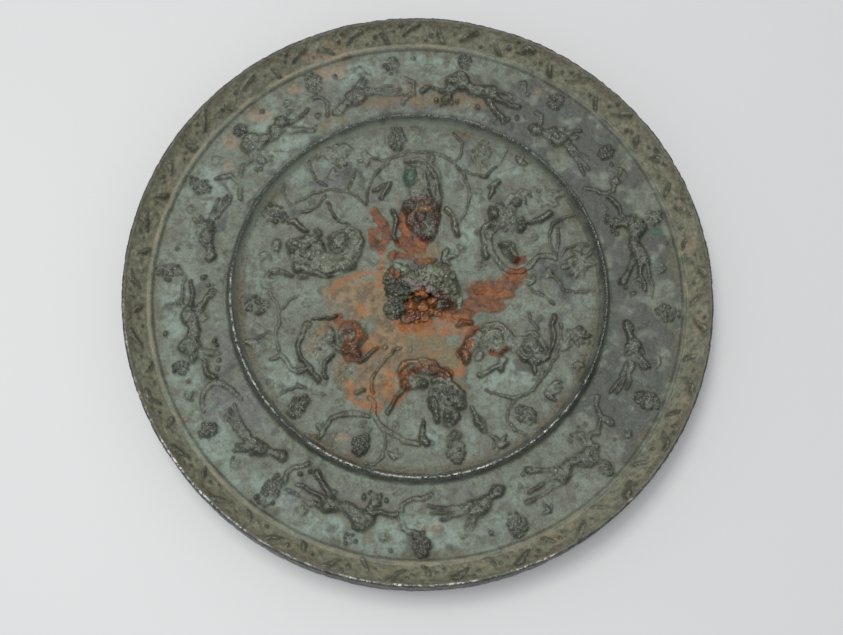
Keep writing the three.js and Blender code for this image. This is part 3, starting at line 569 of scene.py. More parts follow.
def raise_running_beast(bearing, vigour):
    """A beast at full stretch: back and tail, limbs, paws, mane and eye."""
    spine = [
        (2, 66.2, 1.7), (0, 66.5, 2.7), (-2.4, 65.2, 1.8, 0.8), (-4.6, 64.3, 1.4, 0.7),
        (-6.6, 65, 1.8, 0.85), (-8.6, 65.4, 2.1, 1), (-10, 66.6, 0.8, 0.5), (-13, 67, 0.45, 0.4),
        (-18.5, 66.8, 0.4, 0.35),
    ]
    limbs = [
        [(1, 64.6, 1.1), (2, 62.4, 0.9), (2.6, 60.9, 1.4)],
        [(2.6, 64.4, 0.8), (4.2, 63.2, 0.6), (6.6, 64, 0.55), (9.4, 62.6, 0.6)],
        [(-8.4, 64, 1.3), (-9.6, 62.2, 0.8), (-12, 60.6, 0.6), (-14.4, 58.9, 1)],
        [(-9.6, 64.8, 0.9), (-11.5, 64, 0.5), (-17, 64.6, 0.5)],
    ]
    raise_stroke(on_ring(bearing, spine, 1.2), RUNNER_RELIEF * vigour, crown=3, soft=0.4)
    for limb in limbs:
        raise_stroke(on_ring(bearing, limb, 1.3), LIMB_RELIEF * 0.75 * vigour, crown=3, soft=0.3)
    paws = [(2.5, 60.4, 1.5), (5.4, 60, 0.9), (-0.4, 60, 0.9), (3.9, 59.2, 0.7), (1, 59.2, 0.7),
            (-14.6, 58.6, 1.1), (-16.2, 59.6, 0.7), (-18.4, 61.5, 1)]
    for turn, r, size in paws:
        x, y = ring_point(bearing, turn, r)
        raise_dome(x, y, size, size * 0.85, bearing, LIMB_RELIEF * 0.75 * vigour, soft=0.12)
    # Curls of the mane ring the head and run down the back; the eye is a bead in a cut ring.
    hx, hy = ring_point(bearing, 0, 66.5)
    for k in range(9):
        t = math.radians(bearing + 160 + 220 * k / 8)
        curl = (hx + 2.4 * math.cos(t), hy + 2.4 * math.sin(t))
        raise_bead(*curl, 0.72, RUNNER_RELIEF * 0.95 * vigour, soft=0.08)
    for turn, r in ((-3.4, 65.6), (-4.9, 64.7), (-6.4, 65.6), (-7.9, 66.2), (-9.2, 65.2), (-8.2, 64.2)):
        raise_bead(*ring_point(bearing, turn, r), 0.7, RUNNER_RELIEF * vigour, soft=0.08)
    eye_bead = ring_point(bearing, 0.9, 66.8)
    raise_bead(*eye_bead, 0.6, RUNNER_RELIEF * 1.15 * vigour, soft=0.08)
    cut_stroke(arc(*eye_bead, 0.75, 0, 360, 40), 0.16, 0.4)


def raise_bird(bearing, vigour):
    """A long-tailed bird on the wing: body, head, plumes, scales and eye."""
    body = [(2.8, 62, 1.2, 0.8), (1.2, 62.8, 2, 1), (-1.2, 63.3, 2.1, 1), (-3.6, 63.5, 1.1, 0.6)]
    head = [(2.8, 62, 0.8, 0.75), (4.4, 61.3, 1, 0.8), (6, 60.4, 1.5, 1), (6.8, 60.3, 1, 0.8)]
    raise_stroke(on_ring(bearing, body, 1.2), BIRD_RELIEF * vigour, crown=3, soft=0.3)
    raise_stroke(on_ring(bearing, head, 1.2), BIRD_RELIEF * 0.9 * vigour, crown=3, soft=0.3)
    plumes = [
        [(-3.4, 62.6, 0.5), (-8, 61.8, 0.45), (-12.5, 61, 0.4)], [(-3.8, 63.3, 0.5), (-12, 62.8, 0.4)],
        [(-4, 64.1, 0.5), (-10, 64.6, 0.4)], [(-0.4, 64.6, 0.8), (-1.6, 66.4, 0.6), (-3, 68.6, 0.4)],
        [(-1.8, 64.8, 0.7), (-4, 67, 0.4)], [(1, 64.4, 0.6), (0.2, 66, 0.4)],
    ]
    for plume in plumes:
        raise_stroke(on_ring(bearing, plume, 1.3), BIRD_RELIEF * 0.55 * vigour, soft=0.2)
    # Feathers are rows of small scales on the body, and the eye is a cut ring.
    feathers = [
        (2.2, 62.4), (0.9, 63.6), (0.7, 62.2), (-0.6, 62.6), (-0.9, 64.1), (-2.1, 63.2), (-3.3, 63.8),
    ]
    for turn, r in feathers:
        x, y = ring_point(bearing, turn, r)
        raise_bead(x, y, 0.75, BIRD_RELIEF * 1.05 * vigour, soft=0.08)
        cut_stroke(arc(x, y, 0.75, bearing + 90, bearing + 250, 40), 0.16, 0.35)
    cut_stroke(arc(*ring_point(bearing, 6, 60.6), 0.6, 0, 360, 40), 0.16, 0.4)


for bearing, vigour in runners:
    raise_running_beast(bearing, vigour)
for bearing, vigour in birds:
    raise_bird(bearing, vigour)
for bearing, radius, count in outer_bunches:
    raise_bunch(bearing, radius, count, rise=0.95)

# Double tendrils link the figures; leaves and buds fill the gaps between the bunches.
outer_tendrils = [
    [(270, 69), (266.5, 67.5), (264.8, 64), (265.5, 61), (268.5, 59), (273, 58)],
    [(236, 66), (234.8, 63.5), (235, 61), (238, 57.5)],
    [(325, 66), (324.5, 63), (325.5, 60.5), (329, 58)],
    [(118, 67.5), (115.4, 66), (114.6, 63.6), (116.4, 61)],
    [(58, 66), (56, 65.4), (55.4, 63), (57.4, 60.4)],
    [(31, 67.4), (28.6, 64.8), (29.4, 61.4), (33, 58.6)],
    [(94.4, 67), (91.4, 65), (91.6, 61.6), (95, 58.6)],
    [(210, 69), (206, 66.6), (205, 63), (207.4, 60), (212, 58.4)],
    [(150, 68), (147.4, 65), (148, 61.4), (151.4, 58.6)],
]
for line in outer_tendrils:
    centre = on_ring(0, line)
    stem = [(x, y, TENDRIL_HALF_WIDTH) for x, y in centre]
    raise_stroke(stem, VINE_RELIEF * 1.1, crown=4, soft=0.12)
    cut_stroke(centre, 0.22, 0.7)
outer_leaves = [
    (32, 71.4, 190, 2.8), (30, 66.7, 60, 2.4), (64, 72, 170, 3), (66, 66, 250, 2.6), (88, 71, 200, 3),
    (104, 71.6, 160, 3), (124, 70.4, 200, 2.8), (128, 66, 100, 2.4), (146, 72, 170, 3),
    (160, 71, 200, 2.8), (184, 70, 160, 3), (188, 62, 250, 2.6), (206, 72, 200, 2.8), (224, 71.6, 160, 3),
    (243, 71, 200, 3), (247, 62, 60, 2.6), (262, 71.4, 190, 2.8), (280, 70.6, 170, 3),
    (300, 71.6, 200, 3), (304, 63, 60, 2.4), (325, 71.8, 170, 2.6), (344, 71, 200, 3), (6, 71.4, 170, 3),
    (4, 64, 250, 2.6),
]
for bearing, radius, lean, size in outer_leaves:
    raise_leaf(*ring_point(bearing, 0, radius), bearing + lean, size, height=0.8)
outer_buds = [
    (34.6, 69, 0.8), (62, 69.4, 0.8), (91, 72.6, 0.8), (110.6, 70.6, 0.7), (130, 71.6, 0.9),
    (170, 70, 0.8), (190, 72.4, 0.8), (202, 69.4, 0.7), (222, 67.4, 0.8), (244, 67.6, 0.8),
    (264, 73, 0.7), (286, 71, 0.9), (308, 69.6, 0.8), (322, 69, 0.7), (341, 67.6, 0.8), (12, 73, 0.8),
    (73, 60, 0.9), (202, 60.6, 0.9),
]
for bearing, radius, size in outer_buds:
    raise_bead(*ring_point(bearing, 0, radius), size, 0.9)

# The rim band carries a scroll of small leaves that lean outward and inward by turns, with two
# buds in each gap, pressed into the mould with one stamp all the way round.
FLORET_COUNT = 29
FIRST_FLORET = 4.4
FLORET_RELIEF = 1.3
floret_random = np.random.default_rng(29)
outward_leaf = [(-1.3, 81.3, 0.7), (-0.3, 80.9, 0.95), (0.9, 79.9, 0.75), (1.9, 78.9, 0.3)]
inward_leaf = [(5.5, 77.4, 0.4), (6.1, 78, 0.75), (6.7, 79.2, 0.7), (7, 80, 0.35)]
floret_buds = [(-2.5, 78.5), (-4.1, 79.3), (3.6, 80), (2.4, 81.2)]
for number in range(FLORET_COUNT):
    bearing = number * 360 / FLORET_COUNT + FIRST_FLORET
    for leaf in (outward_leaf, inward_leaf):
        vigour = floret_random.uniform(0.8, 1.15)
        raise_stroke(on_ring(bearing, leaf), FLORET_RELIEF * vigour, soft=0.1)
    for turn, radius in floret_buds:
        size = floret_random.uniform(0.45, 0.65)
        turned = floret_random.uniform(-0.3, 0.3)
        place = ring_point(bearing, turn + turned, radius)
        raise_bead(*place, size, FLORET_RELIEF * 0.85, soft=0.1)

# Thirteen centuries in the ground: outlines have wandered and worn unevenly, edges are rounded, the
# skin is pitted and blistered, and rust and earth from something iron lie in a crust around the knob.
# All of it is raised on the same plate.
wander_x = 0.24 * cloud(1.1, 11) + 0.09 * cloud(0.45, 13)
wander_y = 0.24 * cloud(1.1, 12) + 0.09 * cloud(0.45, 14)
relief = read_off(relief, plate_x + wander_x, plate_y + wander_y)
relief *= np.clip(1 + 0.13 * cloud(1.6, 15) + 0.13 * cloud(0.7, 16), 0.4, 1.3)
relief = soften(relief, 0.11)
standing = relief.copy()


def blots(spots):
    """A plate of soft blots from x, y, half-width, half-height and strength."""
    field = np.zeros_like(plain)
    for x, y, a, b, strength in spots:
        window = around_points([(x, y)], 2.6 * max(a, b))
        share = ((plate_x[window] - x) / a) ** 2 + ((plate_y[window] - y) / b) ** 2
        field[window] = np.maximum(field[window], strength * np.exp(-share * 0.7))
    return field


def smears(strokes):
    """A plate of soft smears, each with its points, half-width and strength."""
    field = np.zeros_like(plain)
    for points, width, strength in strokes:
        window = around_points(points, 2.6 * width)
        distance = distance_to(points, plate_x[window], plate_y[window])
        field[window] = np.maximum(field[window], strength * np.exp(-0.7 * (distance / width) ** 2))
    return field


def edge(field, low, high):
    """A smooth step: 0 below low, 1 above high."""
    share = np.clip((field - low) / (high - low), 0, 1)
    return share * share * (3 - 2 * share)


fine, small, middling, broad = cloud(0.3, 1), cloud(0.8, 2), cloud(2.2, 3), cloud(7, 4)
ragged = 0.06 * small + 0.05 * middling + 0.04 * fine
rust_smears = [
    ([(-12.8, 24.8), (-11.7, 22.5), (-10.4, 20.4), (-9, 18.6)], 1.2, 1),
    ([(-13.4, 18), (-12.6, 15.8), (-11.2, 14.2)], 1.8, 1),
    ([(-9, 18.4), (-10, 15.6), (-11, 12.8)], 1.3, 1),
    ([(-4.2, 22.9), (-3.9, 19.4), (-3.3, 17), (-1.4, 15.8), (1.2, 14.9)], 1.6, 1),
    ([(-5, 15.2), (-2.6, 13.4), (0.4, 13.6)], 1.6, 1),
    ([(-7.8, 11.2), (-5.5, 11.4), (-3.2, 11.5)], 1.3, 1),
    ([(-0.6, 9.8), (2, 9.4), (4.6, 10.2)], 0.6, 0.9),
    ([(7.4, -3.9), (11, -5), (14, -4.4), (16.4, -1)], 2.6, 1),
    ([(16.2, 1.8), (15.8, -0.6), (18, -2.6), (22, -3.4)], 2.2, 1),
    ([(20, 1.6), (22, -1), (24.4, 2.4), (27, 5)], 3, 1), ([(26.4, 4.8), (29.6, 6.6)], 1.8, 1),
    ([(28.4, 9.4), (30, 10.6)], 1.4, 0.9), ([(12, -8), (15, -8.6)], 1.4, 0.7),
    ([(15.7, -10.4), (13.8, -13.4), (12.4, -17)], 1.5, 1),
    ([(20.4, -17.2), (23, -17.6), (24.6, -16)], 0.9, 0.8),
    ([(-4.6, -24.3), (-3, -23.2), (0, -22.2), (4, -21.8), (8, -23.6)], 1.2, 0.9),
    ([(-4.6, -24.6), (-3.6, -27.4)], 1.7, 0.9),
    ([(-22, -9.6), (-17.6, -9.4), (-17, -13.4), (-19.6, -15.4)], 1.6, 0.9),
    ([(-20.4, -15.6), (-18.4, -18)], 2.1, 1), ([(-4.6, -8.6), (-1, -9.2), (2, -8.4)], 1.6, 0.9),
    ([(-23.4, -8.2), (-22.6, -7)], 1, 0.7),
]
orange_smears = [
    ([(-10.8, 12), (-10.5, 8), (-10.9, 5.4), (-11, 3.4)], 1, 1), ([(-4, 21), (-3.6, 17.8)], 0.7, 0.9),
    ([(-0.6, 24), (1.8, 25), (3.4, 24.2)], 0.8, 0.9), ([(0, 15), (1.4, 14.6)], 0.7, 1),
    ([(-24.2, 1), (-22.6, 3.2), (-19.6, 4.8), (-15.6, 6), (-12.6, 6.4)], 0.8, 0.85),
    ([(-7, -7), (-4.6, -9.8), (-1, -10), (3, -9.4), (7, -8.6), (12, -7.8)], 1.5, 1),
    ([(1, -10.4), (6, -10.8), (11, -10.4), (14, -10.6)], 1.7, 1), ([(13, -11), (12, -14)], 1, 0.9),
    ([(14.8, -15), (14, -18.4)], 0.8, 1), ([(18, 1), (22, 0.8), (24, -0.6)], 1.6, 0.8),
    ([(27, 5.4), (30, 6.6)], 1, 0.7), ([(-16.4, -4.6), (-15.8, -5.6)], 1.1, 1),
    ([(-17.4, -7.6), (-19.2, -8.4)], 1, 0.8), ([(-16, -12), (-14.6, -14), (-12.8, -16)], 1.8, 0.8),
    ([(-5, -22.6), (-3.4, -20.6), (0, -19.4), (4, -19.8)], 0.8, 0.9),
    ([(8.6, -24.2), (10.4, -23.6), (12, -22.4), (13, -20)], 0.9, 1),
    ([(-8.2, -21), (-8, -25), (-8.8, -28.6)], 1.4, 0.85),
    ([(-19.4, -31), (-16, -32.4), (-12.6, -33.4)], 1, 0.9),
    ([(-13.6, -27), (-12.6, -30.4), (-11.6, -33.8)], 1.2, 0.9), ([(-4.4, -29.6), (-7, -31.6)], 1, 0.9),
    ([(-20, -26.4), (-18.4, -29.4)], 1, 0.7), ([(2, -17.4), (6, -17.6)], 0.7, 0.6),
]
maroon_smears = [
    ([(-3.6, 25.2), (-2.2, 27.4), (0, 28.4), (2.8, 27.6), (4.8, 25.6), (5.6, 22.6), (5, 19.4)], 1.2, 1),
    ([(-2, 21.4), (0, 22), (1, 20)], 1.6, 0.9), ([(0, 17.8), (2.1, 16.4), (3.4, 16)], 1.1, 0.9),
    ([(-20.1, -11.7)], 2.1, 1), ([(15.2, -11.2), (13.2, -14), (12.4, -16.6)], 0.8, 0.9),
    ([(19.4, -10.4), (22.4, -10.8), (24, -13.4), (22.8, -16.4)], 1, 0.6),
    ([(3.4, -21.6), (6.4, -22.2), (8.8, -24.2)], 0.7, 0.9), ([(-8.2, 16.4), (-8.6, 18.6)], 0.5, 0.7),
    ([(-19, -16)], 1, 0.7),
]
earth_smears = [
    ([(-21, 0.6), (-15, 1), (-10, -1)], 4.6, 1), ([(-17, -4.6), (-10, -6.4), (-6, -8)], 4, 1),
    ([(-13.6, -19), (-13, -28)], 5, 1), ([(-19, -27.6), (-14, -30.6)], 3, 1),
    ([(-22, -21), (-21, -27)], 3, 0.6), ([(-9, -12), (-8, -20), (-7.6, -27)], 4, 1),
    ([(-29.6, -13), (-26, -9.6), (-23, -6.4)], 1.6, 0.9), ([(-31, -16), (-29, -13)], 1.6, 0.6),
    ([(-6.4, 28.4), (-4.8, 31.6)], 1.5, 0.45), ([(-4.6, 40), (-8, 42)], 1.6, 0.4),
    ([(11.6, 14), (9, 18), (9.6, 24)], 2, 0.4), ([(-16, 8), (-19, 6)], 1.6, 0.4),
]
loam_smears = [
    ([(-16, 58.6), (-4, 60), (8, 60), (18, 59)], 2.2, 0.75), ([(-10, 63), (4, 63.6)], 1.6, 0.6),
    ([(-30, 50), (-22, 54)], 1.6, 0.5),
    ([(-6, -11), (-1, -13), (4, -13.4), (8, -17), (9.4, -20)], 3.8, 1),
    ([(-1.4, 12.8), (2.4, 12.4), (5, 13.2)], 1.9, 0.9), ([(-3, -16), (-1, -17.6), (4, -17.6)], 2, 1),
    ([(-12, -9), (-9, -16)], 3, 0.7), ([(11, -26.6), (12, -28.6)], 1.6, 0.7),
]


def deposit(strokes, rough, low, high):
    """Smears with ragged edges: none below a strength, whole above another."""
    field = smears(strokes)
    return edge(field + rough * ragged * np.sqrt(np.clip(4 * field, 0, 1)), low, high)


rust = deposit(rust_smears, 1.6, 0.3, 0.6)
orange = deposit(orange_smears, 2.2, 0.12, 0.8)
maroon = deposit(maroon_smears, 1.6, 0.38, 0.7)
earth = deposit(earth_smears, 1.8, 0.25, 0.85)
loam = deposit(loam_smears, 1.8, 0.25, 0.8)
laid_on = np.maximum(earth, loam)
on_band = edge(plate_radius, BAND_START - 0.4, BAND_START + 0.6) * (plate_radius < BAND_END + 0.2)
bodies = edge(standing, 0.4, 1.2)
crust = 0.26 * rust * (1 + 0.5 * small) + 0.2 * maroon * (1 + 0.6 * small)
crust += 0.14 * laid_on * (1 + 0.25 * middling)
skin = 0.03 * fine + 0.045 * small + 0.06 * middling + 0.08 * broad
skin += bodies * (0.06 * fine + 0.07 * small) + on_band * (0.05 * fine + 0.06 * small + 0.05 * middling)
remains = 0.22 * edge(cloud(0.8, 21) + 0.3 * middling, 1, 2) * (plate_radius < RIM_TOP)
blisters = 0.25 * edge(cloud(0.45, 5) + 0.4 * middling, 1.9, 2.7)
pits = 0.3 * edge(cloud(0.4, 6) + 0.5 * cloud(5, 7), 2.0, 2.8)
glitter = 0.1 * np.abs(cloud(0.24, 8)) * bodies * (1 - 0.6 * laid_on)
heights = plain + relief + np.clip(crust, 0, 1) + glitter
heights += (skin + remains + blisters - pits) * (1 - 0.6 * laid_on)

# What the eye reads as patina, worked from the same plate: dark metal on all that stands up, and more
# so on its peaks and on the bunches, dirt and painted shade on its steep sides and in the angles at its
# foot, painted shade darkening the outer field towards the east, and mauve, verdigris, olive and pink
# corrosion where they lie on the real one.
worked = standing + remains
slope = soften(np.hypot(*np.gradient(worked, PITCH)), 0.14)
# Dirt and painted shade on the steep sides of the relief, and in the hollows at its foot.
foot = edge(slope + 0.12 * small, 0.35, 1.15) * np.clip(0.75 + 0.4 * middling + 0.2 * small, 0.15, 1)
hollow = edge(soften(worked, 1.2) - worked + 0.05 * small, 0.04, 0.5)
outside = edge(plate_radius, RIDGE_RADIUS, RIDGE_OUTER)
peaks = standing - soften(standing, 0.7)
bunch = edge(blots(bunch_spots), 0.3, 0.65) * edge(standing, 0.3, 0.8)
raised = edge(standing + 0.16 * small + 0.12 * middling + 0.2 * outside + 1.3 * peaks, 0.45, 1.25)
raised *= np.where(plate_radius > FIELD_EDGE, 0.85, 1)
dark_spots = [
    (31.8, -15.2, 5, 5, 1), (27.4, 12.4, 3, 3.4, 1), (6.6, -36, 7, 10, 0.9), (4.6, 36, 4, 7, 0.9),
    (-41.2, 14, 2.4, 3.4, 0.4), (-35.6, 20.6, 4, 2.6, 0.3), (-6, 47, 5, 6, 0.8), (-27, -25, 6, 4, 0.9),
    (16.8, -37, 3, 4, 0.9), (28, 24, 7, 8, 0.7), (-33, -14, 3, 8, 0.6), (-24, -41, 6, 7, 0.8),
    (-38, -35, 6, 6, 0.7), (10, -49, 6, 5, 0.6), (37, -9, 3, 8, 0.7),
]
deep = edge(blots(dark_spots + bunch_spots) + 0.1 * middling, 0.35, 0.7)
deep = np.maximum(deep, np.clip(plate_radius - RIDGE_OUTER, 0, 1) * (plate_radius < FIELD_EDGE))
mauve_spots = [
    (28, 48, 16, 9, 0.8), (46, 40, 12, 14, 0.8), (62, 8, 9, 20, 0.9), (64, -12, 8, 14, 0.8),
    (-50, -33, 9, 8, 1), (-56, -20, 5, 12, 0.7), (-30, -58, 16, 5, 0.7), (-8, 60, 30, 5, 0.8),
    (-20, 60, 14, 6, 0.7), (55, -30, 8, 14, 0.7), (-27, 34, 8, 5, 0.7), (41, 2, 8, 14, 0.6),
    (-30, -33, 8, 5, 0.6), (40, 14, 6, 6, 0.7), (20, 42, 10, 6, 0.5), (-46, -4, 6, 8, 0.5),
    (-60, 14, 6, 10, 0.5), (10, -58, 14, 5, 0.5), (30, 58, 14, 6, 0.8), (20, -35, 8, 6, 0.4),
]
verdigris_spots = [
    (-22, 69, 10, 7, 1), (-42, 47, 10, 9, 1), (-60, 30, 8, 12, 0.8), (-68, -4, 6, 14, 0.8),
    (-58, -42, 8, 9, 1), (-40, -58, 10, 7, 0.9), (-4, -68, 26, 6, 0.9), (24, -64, 10, 8, 0.6),
    (28, 38, 9, 6, 0.7), (26, -23, 12, 7, 0.8), (-36, 36, 6, 6, 0.8), (-30, 44, 12, 6, 0.7),
    (-36, -24, 9, 6, 0.8), (8, -40, 16, 8, 0.6), (14, 20, 6, 10, 0.7), (0, 72, 30, 4, 0.7),
    (45, 60, 8, 6, 0.6), (-14, 44, 12, 5, 0.6), (46, -48, 9, 8, 0.6), (12, 12, 8, 6, 0.6),
    (-66, -22, 5, 9, 0.9), (-26, -66, 14, 5, 0.8), (56, 0, 2, 16, 0.6), (-52, -52, 5, 5, 0.8),
]
pink_spots = [
    (-28, 67, 3, 3.5, 1), (-24, 69, 2.5, 4, 0.9), (-36, 62, 4, 2, 1), (-47, 54, 4, 2.5, 1),
    (-55, 45, 4, 2.5, 0.9), (-55, 38, 3, 3, 0.7), (-30, 72, 6, 1.8, 1), (-27, 75, 5, 1.8, 0.9),
    (-46, 63, 5, 1.8, 0.9), (78, 14, 1.6, 4, 0.8), (40, -66, 4, 3, 0.7), (37, -69, 4, 2, 0.7),
    (-40, -68, 6, 2, 0.5), (15, -77, 4, 2, 0.6), (48, -56, 5, 5, 0.7), (-8, 47, 3, 3, 0.8),
    (36, 62, 4, 3, 0.6), (-72, 32, 2, 5, 0.6), (18, 48, 4, 2, 0.5), (60, 44, 3, 3, 0.6),
    (-21, -42, 3, 2, 0.6), (13, -47, 3, 2, 0.6), (4, -66, 4, 3, 0.5), (-66, -36, 2, 3, 0.6),
    (76, 24, 1.4, 3, 0.7), (79, -10, 1.4, 4, 0.8), (74, -32, 1.6, 4, 0.8), (-79, 4, 1.2, 4, 0.5),
]
mottle = 0.10 * small + 0.12 * middling + 0.05 * fine
mauve = edge(blots(mauve_spots) + mottle, 0.35, 0.75)
verdigris = edge(blots(verdigris_spots) + mottle, 0.35, 0.8)
pink = edge(blots(pink_spots) + mottle, 0.5, 0.75)
emerald_spots = [(-2.6, 35.4, 2.3, 3.4, 1), (69, 19, 3, 2, 0.8), (76, 10, 2, 3, 0.7)]
emerald = edge(blots(emerald_spots) + ragged, 0.45, 0.8)
east = edge(plate_x + 0.2 * plate_y, 22, 54) * (plate_radius > RIDGE_OUTER)
# Painted shade: the outer field darkens, in mottled patches, towards the east.
east_shade = edge(0.7 * middling + 0.6 * small + 1.9 * east, 0.7, 2.1)


def ring_of(radius, width):
    """A band of the plate at a radius, fading over a width."""
    return np.exp(-(((plate_radius - radius) / width) ** 2))


# Dirt and painted shade darken the foot of the ridge ring, the thin ring and the lip, and lines of dirt and
# painted shade run at the ridge's feet and the field's edge. The ridge's crest is bare and speckled, the
# thin ring shows tan with a painted highlight, the ridge and lip carry painted glints on the near side, and
# the far part of the ridge's inner wall is painted light where it lies in shade.
far = plate_y / np.maximum(plate_radius, 1)
right = plate_x / np.maximum(plate_radius, 1)
lower_side = 0.5 - 0.5 * far
upper_side = np.clip(0.35 * far - 0.2 * right, 0, 1)
near_side = np.clip(-0.92 * far - 0.4 * right, 0, 1)
# Dirt and painted shade in rings, stronger towards the bottom at the ridge's foot.
grime_and_shade = ring_of(RIDGE_RADIUS - 2.5, 1.2) * (0.4 + 0.4 * lower_side + 0.3 * middling)
grime_and_shade += ring_of(FIELD_EDGE - 1, 1.1) * (0.2 + 0.3 * middling)
grime_and_shade += ring_of(BAND_END - 0.6, 0.7) * (0.4 + 0.3 * middling)
# Dark lines of dirt and painted shade at the ridge's feet and the field's edge, varying with the side.
ring_dirt_and_shade = ring_of(RIDGE_RADIUS - 1.6, 0.35) * np.clip(1 - 2.5 * upper_side, 0, 1)
ring_dirt_and_shade += ring_of(RIDGE_RADIUS + 0.8, 0.4) + 0.7 * ring_of(FIELD_EDGE + 0.1, 0.4)
ring_dirt_and_shade += ring_of(RIDGE_RADIUS + 2.1, 0.4) * np.clip(2 * upper_side, 0, 0.7)
ring_dirt_and_shade *= 0.85 + 0.2 * middling + 0.1 * small
crest = edge(ring_of(RIDGE_RADIUS - 0.1, 0.75) + 0.1 * small, 0.3, 0.7)
# Painted light on the far part of the ridge's inner wall, where it lies in shade.
painted_light_wall = np.clip(2.2 * upper_side, 0, 1) * ring_of(RIDGE_RADIUS - 0.95, 0.5)
# Painted glints on the near side of the ridge crest and the lip.
glint_rings = np.maximum(ring_of(RIDGE_RADIUS - 0.15, 0.5), 0.62 * ring_of(RIM_TOP - 0.5, 0.35))
painted_glints = np.sqrt(near_side) * glint_rings
painted_glints = edge(painted_glints * (1 + 0.16 * fine + 0.2 * small + 0.2 * middling), 0.35, 0.9)
# Tan on the thin ring, with a painted highlight, less towards the east.
tan_and_highlight_line = ring_of(THIN_RING + 0.55, 0.4) * np.clip(0.5 + 0.3 * middling - 0.4 * east, 0, 1)
olive = edge(plate_radius + 0.8 * middling, FIELD_EDGE - 1, BAND_START + 1)
plates = {
    "hollow": hollow, "foot": foot, "raised": raised, "rust": rust, "orange": orange, "maroon": maroon,
    "earth": earth, "loam": loam, "mauve": mauve, "verdigris": verdigris, "pink": pink, "olive": olive,
    "emerald": emerald, "east_shade": east_shade, "grime_and_shade": np.clip(grime_and_shade, 0, 1), "ring_dirt_and_shade": np.clip(ring_dirt_and_shade, 0, 1),
    "crest": crest, "tan_and_highlight_line": tan_and_highlight_line, "deep": deep, "painted_glints": painted_glints, "painted_light_wall": painted_light_wall,
    "bunch": bunch,
}


# The casting itself. It is one piece of metal; it is drawn as a disc and three rings that meet in
# upright joins, so that each mesh can be fine enough for its relief.
INNER_STEPS = 1100
OUTER_STEPS = 1200
MIDDLE_RADIUS = 30.0
UNDER_KNOB = 8.0
MIDDLE_ROW = 0.38
INNER_ROW = 0.31
OUTER_ROW = 0.34
RIM_ROW = 0.22
WALL_DRAFT = 0.4
BACK_LOW = 3.0


def face_height(radius):
    """The reflecting face: flat in the middle, so that it rests, and slightly convex outside that."""
    return FACE_RISE * max(0.0, (radius - FACE_FLAT_RADIUS) / (RIM_RADIUS - FACE_FLAT_RADIUS))


def span(start, end, step):
    """Radii or heights from start to end, about a step apart."""
    return list(np.linspace(start, end, int(round((end - start) / step)) + 1))


def put_shape(name, shape):
    """Makes a bmesh a mesh object in the scene."""
    mesh = bpy.data.meshes.new(name)
    shape.to_mesh(mesh)
    shape.free()
    return put(name, mesh)


def settle(piece):
    """Replaces a piece's mesh with what its modifiers make of it, and drops the modifiers."""
    bpy.context.view_layer.update()
    done = bpy.data.meshes.new_from_object(piece.evaluated_get(bpy.context.evaluated_depsgraph_get()))
    piece.modifiers.clear()
    piece.data = done


def spin_ring(name, top, outside, inner_radius, turns):
    """Spins a closed section: the back's radii, the outside, the face, and the inner join if any."""
    outer_radius = top[-1]
    outline = [(r, float(np.interp(r, *zip(*section_of_back)))) for r in top] + outside
    face_radii = (RIM_RADIUS - 0.5, 64.0, FACE_FLAT_RADIUS, 22.0)
    face = [r for r in face_radii if inner_radius < r < outer_radius - 0.1]
    if not outside:
        outline.append((outer_radius, face_height(outer_radius)))
    outline += [(r, face_height(r)) for r in face] + [(inner_radius, face_height(inner_radius))]
    shape = bmesh.new()
    verts = [shape.verts.new((r * MM, 0, z * MM)) for r, z in outline]
    for pair in zip(verts, verts[1:]):
        shape.edges.new(pair)
    if inner_radius > 0:
        shape.edges.new((verts[-1], verts[0]))
    ring = put_shape(name, shape)
    spin = ring.modifiers.new("spin", "SCREW")
    spin.steps = spin.render_steps = turns
    spin.use_merge_vertices = True
    spin.merge_threshold = 1e-7
    settle(ring)
    turned = bmesh.new()
    turned.from_mesh(ring.data)
    bmesh.ops.remove_doubles(turned, verts=turned.verts, dist=1e-7)
    bmesh.ops.recalc_face_normals(turned, faces=turned.faces)
    turned.to_mesh(ring.data)
    turned.free()
    return ring


